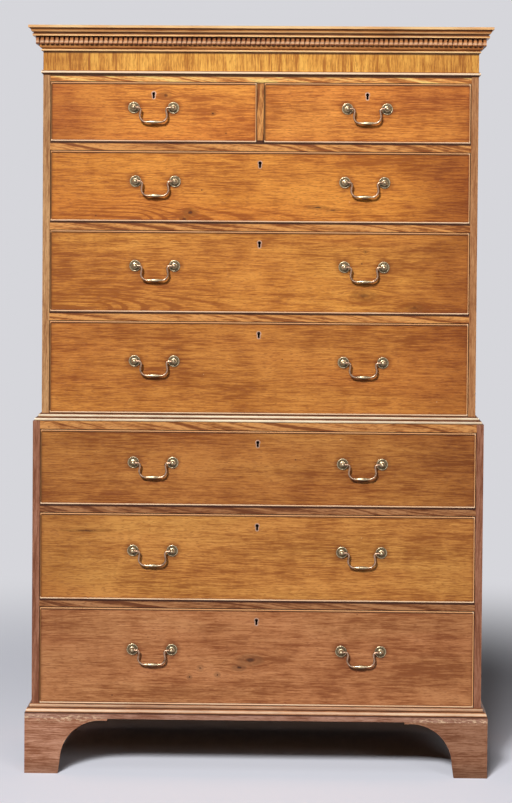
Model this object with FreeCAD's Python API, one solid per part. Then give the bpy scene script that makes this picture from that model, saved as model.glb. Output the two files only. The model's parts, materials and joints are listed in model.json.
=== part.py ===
import FreeCAD, Part
import math
import os

# A chest on chest: an upper case of two short and three long drawers stands on a lower case
# of three long drawers, with a dentil cornice, moulded waist and base, and bracket feet.
# Millimetres. X runs to the right, Y to the back and Z up. The origin lies on the floor,
# under the middle of the overall box.

# Cases
upper_width = 1080.0            # outside of the upper case, left to right
case_step = 20.0                # the lower case stands out this far at the front and both sides
case_depth = 540.0              # lower case, front to back
side_thickness = 18.0
housing_depth = 6.0             # boards, rails and runners enter the sides this far
rail_depth = 60.0               # rails and partition, front to back
rail_shoulder = 5.0             # wood of the side left in front of a housed rail
partition_thickness = 16.0
top_board_thickness = 16.0      # top boards of both cases
floor_board_thickness = 18.0    # bottom board of the lower case
back_thickness = 11.0
back_rebate = 9.0               # lap of the back boards over each side
back_board_count = 6            # upright boards behind each case
back_lap = 8.0                  # half lap between neighbouring back boards

# Heights of the layers, from the floor up
foot_height = 138.0
base_height = 35.0
lower_third_opening = 242.0
lower_second_opening = 217.0
lower_first_opening = 188.0
lower_rail_height = 19.5
lower_top_rail_height = 20.0
waist_height = 19.0             # bottom board of the upper case and the moulding round it
upper_fourth_opening = 231.0
upper_third_opening = 204.0
upper_second_opening = 176.5
short_opening = 149.0
upper_rail_height = 21.5
upper_top_rail_height = 15.5
frieze_height = 59.0            # visible height of the frieze board
frieze_thickness = 18.0
bed_height = 16.5               # lowest member of the cornice
dentil_height = 20.0
crown_height = 26.0             # corona and crown of the cornice
cornice_stand = 17.5            # rise of the cornice above the top board

# Mouldings: how far each one stands out, and its outline as shares of that reach and its height.
# A row of two is the end of a straight line, a row of four a point on an arc and the arc's end.
crown_reach = 34.5
crown_shares = [(0, 0), (0.71, 0), (0.71, 0.21), (0.64, 0.21), (0.64, 0.36), (0.73, 0.36),
                (0.79, 0.44, 0.82, 0.55), (0.85, 0.66, 0.92, 0.73), (0.92, 0.76), (1, 0.76),
                (1, 1), (0, 1)]
bed_reach = 9.5
bed_shares = [(0, 0), (0.24, 0), (0.52, 0.15, 0.24, 0.3), (0.24, 0.42), (0.42, 0.42),
              (0.84, 0.6, 1, 0.94), (1, 1), (0, 1)]
astragal_reach = 5.0
astragal_height = 10.5
astragal_lift = 1.5             # lower edge of the astragal above the edge of the frieze
astragal_shares = [(0, 0), (0.3, 0), (0.3, 0.12), (1, 0.56, 0.3, 1), (0, 1)]
waist_reach = 16.0
waist_shares = [(0, 0), (0.88, 0), (1, 0.22, 0.82, 0.43), (0.62, 0.43), (0.62, 0.51), (0.34, 0.51),
                (0.5, 0.69, 0.31, 0.88), (0.16, 0.88), (0.16, 1), (0, 1)]
base_reach = 16.0
base_shares = [(0, 0), (1, 0), (1, 0.4), (0.88, 0.4), (0.88, 0.45), (0.74, 0.65, 0.38, 0.77),
               (0.31, 0.77), (0.31, 0.82), (0.12, 0.82), (0.3, 0.91, 0.12, 1), (0, 1)]
dentil_reach = 17.0
dentil_backing = 10.0           # plain strip behind the teeth
dentil_pitch = 12.1             # nearest pitch is taken that fits a whole number of teeth
tooth_share = 0.60              # width of a tooth in its pitch

# Bracket feet: outline from the outer corner, as shares of the bracket's width and height
bracket_width = 206.0
bracket_thickness = 20.0
bracket_shares = [(0, 0), (0.403, 0), (0.427, 0.26), (0.545, 0.71, 0.976, 0.964), (1, 0.964),
                  (1, 1), (0, 1)]
rear_bracket_width = 150.0
rear_bracket_shares = [(0, 0), (0.42, 0), (1, 0.84), (1, 1), (0, 1)]
glue_block = 46.0

# Runners and stops inside the cases
runner_width = 22.0
runner_height = 15.0
centre_runner_width = 56.0
centre_guide_height = 26.0
stop_length = 40.0
stop_depth = 14.0
stop_height = 5.0
stop_spread_share = 0.3         # place of the two stops of a long drawer, from the middle

# Drawers
front_thickness = 20.0
drawer_side_gap = 1.2
drawer_top_gap = 1.6
drawer_foot_gap = 0.8           # under the drawer front
seat_gap = 0.3                  # between a drawer side and what it runs on
bead_thickness = 3.2            # cockbead seen from the front
bead_depth = 7.5                # cockbead let into the front
bead_projection = 2.2
lining_thickness = 10.0         # drawer sides and back
lining_head_gap = 6.0           # top of the drawer sides under the opening's head
tail_depth = 11.0               # dovetails of the sides enter the front this far
tail_pitch = 44.0               # nearest pitch is taken that fits a whole number of tails
tail_wide_share = 0.72
tail_narrow_share = 0.5
panel_thickness = 7.0           # drawer bottom
panel_lift = 8.0                # underside of the bottom above the lower edge of the sides
panel_groove = 4.0
back_drop = 8.0                 # top of the drawer back under the top of its sides
drawer_tail_gap = 18.0          # between the drawer back and the back boards

# Locks
lock_width = 60.0
lock_height = 45.0
lock_thickness = 12.0
bolt_width = 24.0
bolt_thickness = 6.0
bolt_height = 15.0
bolt_throw = 8.0
bolt_fit = 0.1                  # running gap round the bolt in its lock
mortice_room = 1.0              # room round the thrown bolt in the rail
keyhole_drop = 29.0             # middle of the keyhole's round part under the opening's head
keyhole_radius = 4.0
keyhole_slot = 5.0              # width of the slot under the round part
keyhole_length = 9.5            # from the round part's middle to the middle of the slot's end
keyhole_depth = 9.0             # into the lock
escutcheon_margin = 2.4
escutcheon_depth = 4.0
key_pin_radius = 1.4

# Handles
post_spacing = 98.0
handle_place = 260.0            # middle of a handle from the middle of a long drawer
handle_height_share = 0.431     # posts under the opening's head
pivot_standoff = 15.0           # hinge line in front of the drawer front
ball_radius = 5.5
post_radius = 2.5
post_neck_radius = 3.6
post_hole_fit = 0.2
nut_radius = 6.0
nut_thickness = 4.0
post_end = 2.0                  # end of the post beyond its nut
rosette_radius = 14.5
rosette_rise = 4.2              # boss of the rosette in front of the drawer front
rosette_shares = [(0, 0), (1, 0), (1, 0.24), (0.95, 0.52, 0.84, 0.55), (0.78, 0.3), (0.6, 0.32),
                  (0.52, 0.62), (0.46, 0.9), (0.36, 1), (0, 1)]
pin_radius = 2.0
pin_fit = 0.05                  # running gap round a bail's pin
pin_length = 7.0
wire_radius = 2.6
neck_start = 37.5               # where the neck starts to bend, from the handle's middle
neck_radius = 6.0
neck_turn = math.radians(100.0)
leg_length = 10.0
bow_radius = 16.0
grip_radius = 4.3
swell_place_shares = [-1, -0.45, -0.4, 0.4, 0.45, 1]    # poles of the grip's curve along it
swell_share = 0.625             # the two middle poles' part in the middle of the curve

overrun = 5.0                   # cutting shapes pass the faces they cut by this

# Levels and planes that follow from the sizes
lower_third_floor = foot_height + base_height
lower_third_head = lower_third_floor + lower_third_opening
lower_second_floor = lower_third_head + lower_rail_height
lower_second_head = lower_second_floor + lower_second_opening
lower_first_floor = lower_second_head + lower_rail_height
lower_first_head = lower_first_floor + lower_first_opening
waist_level = lower_first_head + lower_top_rail_height
upper_fourth_floor = waist_level + waist_height
upper_fourth_head = upper_fourth_floor + upper_fourth_opening
upper_third_floor = upper_fourth_head + upper_rail_height
upper_third_head = upper_third_floor + upper_third_opening
upper_second_floor = upper_third_head + upper_rail_height
upper_second_head = upper_second_floor + upper_second_opening
short_floor = upper_second_head + upper_rail_height
short_head = short_floor + short_opening
frieze_level = short_head + upper_top_rail_height
bed_level = frieze_level + frieze_height
dentil_level = bed_level + bed_height
crown_level = dentil_level + dentil_height
cornice_top = crown_level + crown_height
case_top = cornice_top - cornice_stand

upper_half = upper_width / 2
lower_half = upper_half + case_step
upper_inside = upper_half - side_thickness
lower_inside = lower_half - side_thickness
handle_reach = pivot_standoff + max(ball_radius, grip_radius)
front_reach = max(handle_reach, base_reach, crown_reach - case_step)
lower_front = (front_reach - case_depth) / 2
upper_front = lower_front + case_step
back_face = lower_front + case_depth
board_back = back_face - back_thickness
drawer_back = board_back - drawer_tail_gap


def vector(x, y, z):
    """Point or direction."""
    return FreeCAD.Vector(x, y, z)


def block(x0, x1, y0, y1, z0, z1):
    """Box between two corners."""
    return Part.makeBox(x1 - x0, y1 - y0, z1 - z0, vector(x0, y0, z0))


def prism(points, run):
    """Solid from a closed outline of points, pushed along a direction."""
    return Part.Face(Part.makePolygon(points + points[:1])).extrude(run)


def mirrored(shape):
    """The same piece for the other side of the chest."""
    return shape.mirror(vector(0, 0, 0), vector(1, 0, 0))


def outline_face(shares, width, height, place):
    """Face inside an outline of lines and arcs, given in shares and set in space by place."""
    edges = []
    here = place(shares[0][0] * width, shares[0][1] * height)
    for row in shares[1:] + shares[:1]:
        there = place(row[-2] * width, row[-1] * height)
        if len(row) == 4:
            edges.append(Part.Arc(here, place(row[0] * width, row[1] * height), there).toShape())
        else:
            edges.append(Part.makeLine(here, there))
        here = there
    return Part.Face(Part.Wire(edges))


def mitred_run(shares, reach, height, half, front, level):
    """Front length and both side returns of a moulding that is mitred at the front corners."""
    far = reach + overrun
    rise = vector(0, 0, height + overrun + overrun)
    low = level - overrun
    face = outline_face(shares, reach, height, lambda o, h: vector(-half - far, front - o, level + h))
    length = face.extrude(vector(half + far + half + far, 0, 0))
    keep = prism([vector(overrun - half, front + overrun, low),
                  vector(half - overrun, front + overrun, low),
                  vector(half + far, front - far, low), vector(-half - far, front - far, low)], rise)
    face = outline_face(shares, reach, height, lambda o, h: vector(half + o, front - far, level + h))
    side = face.extrude(vector(0, back_face - front + far, 0))
    keep_side = prism([vector(half - overrun, front + overrun, low), vector(half + far, front - far, low),
                       vector(half + far, back_face + overrun, low),
                       vector(half - overrun, back_face + overrun, low)], rise)
    side = side.common(keep_side).Solids[0]
    return [length.common(keep).Solids[0], side, mirrored(side)]


def dentil_edge(length):
    """Toothed edge as places along a strip and depths: it starts on a tooth and ends on one."""
    count = round(length / dentil_pitch)
    pitch = length / (count - 1 + tooth_share)
    places = []
    for tooth in range(count):
        start = tooth * pitch
        end = start + tooth_share * pitch
        places += [(start, dentil_backing), (start, dentil_reach)]
        places += [(end, dentil_reach), (end, dentil_backing)]
    return places[1:-1]


def dentil_strips():
    """Front strip and two side strips of dentils, mitred at the corners."""
    half = upper_half + dentil_reach
    rise = vector(0, 0, dentil_height)
    front = [vector(at - half, upper_front - depth, dentil_level)
             for at, depth in dentil_edge(half + half)]
    front += [vector(upper_half, upper_front, dentil_level), vector(-upper_half, upper_front, dentil_level)]
    start = upper_front - dentil_reach
    side = [vector(upper_half + depth, start + at, dentil_level)
            for at, depth in dentil_edge(back_face - start)]
    side += [vector(upper_half, back_face, dentil_level), vector(upper_half, upper_front, dentil_level)]
    right = prism(side, rise)
    return [prism(front, rise), right, mirrored(right)]


def case_side(half, front, floor, head, rails, boards, runners):
    """Right-hand side of a case, housed for its rails, boards and runners and rebated for the back."""
    inside = half - side_thickness
    side = block(inside, half, front, back_face, floor, head)
    cuts = [block(inside - overrun, inside + back_rebate, board_back, back_face + overrun,
                  floor - overrun, head + overrun)]
    for low, high in rails:
        cuts.append(block(inside - overrun, inside + housing_depth, front + rail_shoulder,
                          front + rail_depth, low, high))
    for low, high, start in boards:
        cuts.append(block(inside - overrun, inside + housing_depth, start, board_back, low, high))
    for low, high in runners:
        cuts.append(block(inside - overrun, inside + housing_depth, front + rail_depth,
                          board_back, low, high))
    return side.cut(cuts)


def housed_rail(inside, front, low, high):
    """Rail across a case, with a tongue at each end set back from the front."""
    rail = block(-inside, inside, front, front + rail_depth, low, high)
    tongue = block(-inside - housing_depth, inside + housing_depth, front + rail_shoulder,
                   front + rail_depth, low, high)
    return rail.fuse(tongue).removeSplitter()


def side_strip(inside, front, low, high):
    """Right-hand runner or kicker, housed in the case side behind the rail."""
    return block(inside - runner_width, inside + housing_depth, front + rail_depth, board_back, low, high)


def upright_boards(inside, floor, head):
    """Back of a case: upright boards, half lapped, in the rebates of the sides."""
    half = inside + back_rebate
    pitch = (half + half) / back_board_count
    middle = board_back + back_thickness / 2
    boards = []
    for number in range(back_board_count):
        left = number * pitch - half
        right = left + pitch
        tongue = right + back_lap if number < back_board_count - 1 else right
        groove = left + back_lap if number > 0 else left
        points = [(left, back_face), (right, back_face), (right, middle), (tongue, middle),
                  (tongue, board_back), (groove, board_back), (groove, middle), (left, middle)]
        corners = []
        for x, y in points:
            corner = vector(x, y, floor)
            if corner not in corners:
                corners.append(corner)
        boards.append(prism(corners, vector(0, 0, head - floor)))
    return boards


def bolt_mortice(middle, face, head):
    """Hollow in the underside of a rail that takes a thrown lock bolt."""
    front = face + front_thickness - lock_thickness / 2 - bolt_thickness / 2
    return block(middle - bolt_width / 2 - mortice_room, middle + bolt_width / 2 + mortice_room,
                 front - mortice_room, front + bolt_thickness + mortice_room,
                 head - overrun, head + bolt_throw + mortice_room)


def upper_sides():
    """Right-hand side of the upper case; the frieze board laps over its front edge at the top."""
    rails = [(upper_fourth_head, upper_third_floor), (upper_third_head, upper_second_floor),
             (upper_second_head, short_floor), (short_head, frieze_level)]
    boards = [(waist_level - overrun, upper_fourth_floor, upper_front + rail_shoulder),
              (case_top - top_board_thickness, case_top + overrun, upper_front + frieze_thickness)]
    runners = [(high - runner_height, high) for low, high in rails[:-1]]
    runners.append((short_head, short_head + runner_height))
    side = case_side(upper_half, upper_front, waist_level, case_top, rails, boards, runners)
    notch = block(upper_inside - overrun, upper_half + overrun, upper_front - overrun,
                  upper_front + frieze_thickness, frieze_level, case_top + overrun)
    return side.cut(notch)


def lower_sides():
    """Right-hand side of the lower case."""
    rails = [(lower_third_head, lower_second_floor), (lower_second_head, lower_first_floor),
             (lower_first_head, waist_level + overrun)]
    boards = [(lower_third_floor - floor_board_thickness, lower_third_floor, lower_front + rail_shoulder),
              (waist_level - top_board_thickness, waist_level + overrun, lower_front + rail_depth)]
    runners = [(high - runner_height, high) for low, high in rails[:-1]]
    return case_side(lower_half, lower_front, foot_height, waist_level, rails, boards, runners)


def housed_board(inside, front, setback, low, high):
    """Board across a case from the front to the back boards, housed in both sides."""
    board = block(-inside, inside, front, board_back, low, high)
    wide = block(-inside - housing_depth, inside + housing_depth, front + setback, board_back, low, high)
    return board.fuse(wide).removeSplitter()


def case_boards():
    """Top and bottom boards of both cases, and the bearers under the lower bottom board."""
    under = lower_third_floor - floor_board_thickness
    bearer = block(-lower_inside, lower_inside, lower_front, lower_front + rail_depth, foot_height, under)
    rear_bearer = block(-lower_inside, lower_inside, board_back - rail_depth, board_back, foot_height, under)
    return [housed_board(upper_inside, upper_front + frieze_thickness, 0,
                         case_top - top_board_thickness, case_top),
            housed_board(upper_inside, upper_front, rail_shoulder, waist_level, upper_fourth_floor),
            housed_board(lower_inside, lower_front + rail_depth, 0,
                         waist_level - top_board_thickness, waist_level),
            housed_board(lower_inside, lower_front, rail_shoulder, under, lower_third_floor),
            bearer, rear_bearer]


def drawer_rails():
    """Rails between the drawers, morticed for the lock bolts, and the partition of the short drawers."""
    rails = []
    for inside, front, low, high in [(lower_inside, lower_front, lower_third_head, lower_second_floor),
                                     (lower_inside, lower_front, lower_second_head, lower_first_floor),
                                     (lower_inside, lower_front, lower_first_head, waist_level),
                                     (upper_inside, upper_front, upper_fourth_head, upper_third_floor),
                                     (upper_inside, upper_front, upper_third_head, upper_second_floor),
                                     (upper_inside, upper_front, upper_second_head, short_floor)]:
        rails.append(housed_rail(inside, front, low, high).cut(bolt_mortice(0, front, low)))
    short_middle = (upper_inside + partition_thickness / 2) / 2
    top_rail = housed_rail(upper_inside, upper_front, short_head, frieze_level)
    top_rail = top_rail.cut([bolt_mortice(short_middle, upper_front, short_head),
                             bolt_mortice(-short_middle, upper_front, short_head)])
    half = partition_thickness / 2
    partition = block(-half, half, upper_front, upper_front + rail_depth, short_floor, short_head)
    tongue = block(-half, half, upper_front + rail_shoulder, upper_front + rail_depth,
                   short_floor - housing_depth, short_head + housing_depth)
    partition = partition.fuse(tongue).removeSplitter()
    rails[-1] = rails[-1].cut(tongue)
    return rails + [top_rail.cut(tongue), partition]


def drawer_stop(middle, face, floor):
    """Block behind the foot of a closed drawer front."""
    start = face + front_thickness + seat_gap
    return block(middle - stop_length / 2, middle + stop_length / 2, start, start + stop_depth,
                 floor, floor + stop_height)


def drawer_runners():
    """Runners, kickers, centre guide and drawer stops inside both cases."""
    strips = []
    for inside, front, floor in [(lower_inside, lower_front, lower_second_floor),
                                 (lower_inside, lower_front, lower_first_floor),
                                 (upper_inside, upper_front, upper_third_floor),
                                 (upper_inside, upper_front, upper_second_floor),
                                 (upper_inside, upper_front, short_floor),
                                 (upper_inside, upper_front, short_head + runner_height)]:
        strip = side_strip(inside, front, floor - runner_height, floor)
        strips += [strip, mirrored(strip)]
    start = upper_front + rail_depth
    half = centre_runner_width / 2
    strips.append(block(-half, half, start, board_back, short_floor - runner_height, short_floor))
    strips.append(block(-half, half, start, board_back, short_head, short_head + runner_height))
    half = partition_thickness / 2
    strips.append(block(-half, half, start, board_back, short_floor, short_floor + centre_guide_height))
    for width, face, floor in [(lower_inside, lower_front, lower_third_floor),
                               (lower_inside, lower_front, lower_second_floor),
                               (lower_inside, lower_front, lower_first_floor),
                               (upper_inside, upper_front, upper_fourth_floor),
                               (upper_inside, upper_front, upper_third_floor),
                               (upper_inside, upper_front, upper_second_floor),
                               (upper_inside, upper_front, short_floor)]:
        place = (width + width) * stop_spread_share
        strips += [drawer_stop(place, face, floor), drawer_stop(-place, face, floor)]
    return strips


def frieze():
    """Frieze board across the whole front, with the astragal that runs round the case."""
    board = block(-upper_half, upper_half, upper_front, upper_front + frieze_thickness,
                  frieze_level, case_top)
    return [board] + mitred_run(astragal_shares, astragal_reach, astragal_height, upper_half, upper_front,
                                frieze_level + astragal_lift)


def cornice():
    """Bed moulding under the dentils and crown above them, each in three mitred lengths."""
    return (mitred_run(bed_shares, bed_reach, bed_height, upper_half, upper_front, bed_level)
            + mitred_run(crown_shares, crown_reach, crown_height, upper_half, upper_front, crown_level))


def bracket_feet():
    """Four bracket feet: shaped brackets mitred at the front corners, and glue blocks inside them."""
    corner_x = lower_half + base_reach
    corner_y = lower_front - base_reach
    inner_x = corner_x - bracket_thickness
    inner_y = corner_y + bracket_thickness
    face = outline_face(bracket_shares, bracket_width, foot_height,
                        lambda w, h: vector(corner_x - w, corner_y, h))
    front = face.extrude(vector(0, bracket_thickness, 0))
    face = outline_face(bracket_shares, bracket_width, foot_height,
                        lambda w, h: vector(corner_x, corner_y + w, h))
    side = face.extrude(vector(-bracket_thickness, 0, 0))
    tall = vector(0, 0, foot_height + overrun + overrun)
    far = bracket_thickness + overrun
    mitre = prism([vector(corner_x + overrun, corner_y - overrun, -overrun),
                   vector(corner_x - far, corner_y + far, -overrun),
                   vector(corner_x + overrun, corner_y + far, -overrun)], tall)
    side_mitre = prism([vector(corner_x + overrun, corner_y - overrun, -overrun),
                        vector(corner_x - far, corner_y + far, -overrun),
                        vector(corner_x - far, corner_y - overrun, -overrun)], tall)
    face = outline_face(bracket_shares, bracket_width, foot_height,
                        lambda w, h: vector(corner_x, back_face - w, h))
    rear_side = face.extrude(vector(-bracket_thickness, 0, 0))
    face = outline_face(rear_bracket_shares, rear_bracket_width, foot_height,
                        lambda w, h: vector(inner_x - w, back_face - bracket_thickness, h))
    rear = face.extrude(vector(0, bracket_thickness, 0))
    front_block = block(inner_x - glue_block, inner_x, inner_y, inner_y + glue_block, 0, foot_height)
    rear_edge = back_face - bracket_thickness
    rear_block = block(inner_x - glue_block, inner_x, rear_edge - glue_block, rear_edge, 0, foot_height)
    right = [front.cut(mitre), side.cut(side_mitre), rear_side, rear, front_block, rear_block]
    return right + [mirrored(piece) for piece in right]


def tail_corners(end, root, low, high):
    """Corners of a row of dovetails up the end of a drawer side, from low to high."""
    count = max(1, round((high - low) / tail_pitch))
    pitch = (high - low) / count
    corners = []
    for number in range(count):
        middle = low + pitch * number + pitch / 2
        wide = pitch * tail_wide_share / 2
        narrow = pitch * tail_narrow_share / 2
        corners += [(root, middle - narrow), (end, middle - wide)]
        corners += [(end, middle + wide), (root, middle + narrow)]
    return corners


def drawer_side(left, face, floor, head):
    """Drawer side with lapped dovetails at the front and through dovetails at the back."""
    low = floor + seat_gap
    high = head - lining_head_gap
    root = face + front_thickness
    back_root = drawer_back - lining_thickness
    back_low = low + panel_lift + panel_thickness
    back_high = high - back_drop
    corners = [(root, low)] + tail_corners(root - tail_depth, root, low, high)
    corners += [(root, high), (drawer_back, high), (drawer_back, back_high), (back_root, back_high)]
    corners += tail_corners(drawer_back, back_root, back_low, back_high)[::-1]
    corners += [(back_root, back_low), (drawer_back, back_low), (drawer_back, low)]
    return prism([vector(left, y, z) for y, z in corners], vector(lining_thickness, 0, 0))


def drawer_box(x0, x1, face, floor, head):
    """Sides, back and bottom of a drawer; the dovetailed sides before their grooves come last."""
    low = floor + seat_gap + panel_lift
    sides = [drawer_side(x0 + drawer_side_gap, face, floor, head),
             drawer_side(x1 - drawer_side_gap - lining_thickness, face, floor, head)]
    inner = drawer_side_gap + lining_thickness - panel_groove
    bottom = block(x0 + inner, x1 - inner, face + front_thickness - panel_groove, drawer_back,
                   low, low + panel_thickness)
    back = block(x0 + drawer_side_gap, x1 - drawer_side_gap, drawer_back - lining_thickness, drawer_back,
                 low + panel_thickness, head - lining_head_gap - back_drop)
    return [sides[0].cut(bottom), sides[1].cut(bottom), back.cut(sides), bottom], sides


def keyhole(middle, level, radius, slot, start, depth):
    """Keyhole form: a round part over a slot with a round end, running back from start."""
    run = vector(0, 1, 0)
    low = level - keyhole_length
    form = Part.makeCylinder(radius, depth, vector(middle, start, level), run)
    form = form.fuse([Part.makeCylinder(slot / 2, depth, vector(middle, start, low), run),
                      block(middle - slot / 2, middle + slot / 2, start, start + depth, low, level)])
    return form.removeSplitter()


def bead_strip(x0, x1, z0, z1, face):
    """Four cockbead strips with round noses, mitred round a drawer front."""
    nose = bead_thickness / 2
    start = face - bead_projection
    end = face + bead_depth
    strips = []
    middle_x = (x0 + x1) / 2
    middle_z = (z0 + z1) / 2
    half_x = middle_x - x0
    half_z = middle_z - z0
    deep = vector(0, end - start + overrun + overrun, 0)

    def section(place):
        flat = [place(0, start + nose), place(0, end), place(bead_thickness, end),
                place(bead_thickness, start + nose)]
        edges = [Part.makeLine(flat[at], flat[at + 1]) for at in range(3)]
        edges.append(Part.Arc(flat[3], place(nose, start), flat[0]).toShape())
        return Part.Face(Part.Wire(edges))

    def fan(across, along, sign):
        far = bead_thickness + overrun
        pairs = [(-along - overrun, across + overrun), (along + overrun, across + overrun),
                 (along - far, across - far), (far - along, across - far)]
        return [(a, b * sign) for a, b in pairs]

    for sign in (1, -1):
        face_x = section(lambda t, y: vector(x0, y, middle_z + sign * (half_z - t)))
        keep = [vector(middle_x + a, start - overrun, middle_z + b) for a, b in fan(half_z, half_x, sign)]
        strips.append(face_x.extrude(vector(x1 - x0, 0, 0)).common(prism(keep, deep)).Solids[0])
        face_z = section(lambda t, y: vector(middle_x + sign * (half_x - t), y, z0))
        keep = [vector(middle_x + b, start - overrun, middle_z + a) for a, b in fan(half_x, half_z, sign)]
        strips.append(face_z.extrude(vector(0, 0, z1 - z0)).common(prism(keep, deep)).Solids[0])
    return strips


def drawer_front(x0, x1, face, floor, head, posts, sides, bottom):
    """Front board with cockbeads, cut for the dovetails, bottom, lock, keyhole and handle posts."""
    left = x0 + drawer_side_gap
    right = x1 - drawer_side_gap
    low = floor + drawer_foot_gap
    high = head - drawer_top_gap
    middle = (x0 + x1) / 2
    rear = face + front_thickness
    board = block(left + bead_thickness, right - bead_thickness, face, rear, low + bead_thickness,
                  high - bead_thickness)
    board = board.fuse(block(left, right, face + bead_depth, rear, low, high)).removeSplitter()
    recess = block(middle - lock_width / 2, middle + lock_width / 2, rear - lock_thickness, rear + overrun,
                   high - lock_height, high + overrun)
    level = head - keyhole_drop
    cuts = sides + [bottom, recess,
                    keyhole(middle, level, keyhole_radius, keyhole_slot, face - overrun,
                            front_thickness + overrun),
                    keyhole(middle, level, keyhole_radius + escutcheon_margin,
                            keyhole_slot + escutcheon_margin + escutcheon_margin, face - overrun,
                            escutcheon_depth + overrun)]
    for x, z in posts:
        cuts.append(Part.makeCylinder(post_radius + post_hole_fit, front_thickness + overrun + overrun,
                                      vector(x, face - overrun, z), vector(0, 1, 0)))
    return [board.cut(cuts)] + bead_strip(left, right, low, high, face)


def drawer_lock(middle, face, head):
    """Lock let into the back of a drawer front, with its pocket for the bolt, keyhole and key pin."""
    rear = face + front_thickness
    high = head - drawer_top_gap
    start = rear - lock_thickness
    body = block(middle - lock_width / 2, middle + lock_width / 2, start, rear, high - lock_height, high)
    bolt_start = rear - lock_thickness / 2 - bolt_thickness / 2
    bolt = block(middle - bolt_width / 2, middle + bolt_width / 2, bolt_start, bolt_start + bolt_thickness,
                 high - bolt_height, high)
    pocket = block(middle - bolt_width / 2 - bolt_fit, middle + bolt_width / 2 + bolt_fit,
                   bolt_start - bolt_fit, bolt_start + bolt_thickness + bolt_fit,
                   high - bolt_height - bolt_fit, high + overrun)
    level = head - keyhole_drop
    hole = keyhole(middle, level, keyhole_radius, keyhole_slot, start - overrun, keyhole_depth + overrun)
    pin = Part.makeCylinder(key_pin_radius, keyhole_depth, vector(middle, start, level), vector(0, 1, 0))
    return body.cut([pocket, hole.cut(pin)]), bolt


def escutcheon(middle, face, head):
    """Brass lining of a keyhole, flush with the drawer front."""
    level = head - keyhole_drop
    outer = keyhole(middle, level, keyhole_radius + escutcheon_margin,
                    keyhole_slot + escutcheon_margin + escutcheon_margin, face, escutcheon_depth)
    return outer.cut(keyhole(middle, level, keyhole_radius, keyhole_slot, face - overrun,
                             escutcheon_depth + overrun + overrun))


def turned(rows, radius, depth, x, face, z):
    """Turned piece on an axis along Y: rows of radius and forward shares, from the drawer front."""
    outline = outline_face(rows, radius, depth, lambda r, d: vector(x + r, face - d, z))
    return outline.revolve(vector(x, face, z), vector(0, 1, 0), math.degrees(math.tau))


def handle_post(x, face, z, inward):
    """Post with a ball head, bored from the bail's side for the bail's pin."""
    rear = face + front_thickness + nut_thickness + post_end
    ball_level = face - pivot_standoff
    post = Part.makeCylinder(post_radius, rear - ball_level, vector(x, ball_level, z), vector(0, 1, 0))
    neck_end = face - rosette_rise
    neck = Part.makeCone(post_neck_radius, post_radius, neck_end - ball_level, vector(x, ball_level, z),
                         vector(0, 1, 0))
    ball = Part.makeSphere(ball_radius, vector(x, ball_level, z))
    post = post.fuse([neck, ball]).removeSplitter()
    start = ball_radius - pin_length - pin_fit
    bore = Part.makeCylinder(pin_radius + pin_fit, pin_length + pin_fit + overrun,
                             vector(x + inward * start, ball_level, z), vector(inward, 0, 0))
    return post.cut(bore)


def handle_fittings(middle, face, z):
    """Two rosettes, two posts and two nuts of one handle."""
    pieces = []
    for inward in (1, -1):
        x = middle - inward * post_spacing / 2
        rosette = turned(rosette_shares, rosette_radius, rosette_rise, x, face, z)
        bore = Part.makeCylinder(post_radius + post_hole_fit, rosette_rise + overrun + overrun,
                                 vector(x, face + overrun, z), vector(0, -1, 0))
        pieces.append(rosette.cut(bore))
        pieces.append(handle_post(x, face, z, inward))
        rear = face + front_thickness
        nut = Part.makeCylinder(nut_radius, nut_thickness, vector(x, rear, z), vector(0, 1, 0))
        hole = Part.makeCylinder(post_radius + pin_fit, nut_thickness + overrun + overrun,
                                 vector(x, rear - overrun, z), vector(0, 1, 0))
        pieces.append(nut.cut(hole))
    return pieces


def swelling(at, half, drop):
    """Straight grip of a bail, turned along X, that swells smoothly from the wire to its middle."""
    bulge = wire_radius + (grip_radius - wire_radius) / swell_share
    curve = Part.BezierCurve()
    radii = [wire_radius, wire_radius, bulge, bulge, wire_radius, wire_radius]
    curve.setPoles([at(place * half, drop - radius) for place, radius in zip(swell_place_shares, radii)])
    edges = [curve.toShape(),
             Part.makeLine(at(half, drop - wire_radius), at(half, drop)),
             Part.makeLine(at(half, drop), at(-half, drop)),
             Part.makeLine(at(-half, drop), at(-half, drop - wire_radius))]
    outline = Part.Face(Part.Wire(edges))
    return outline.revolve(at(0, drop), vector(1, 0, 0), math.degrees(math.tau))


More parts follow.
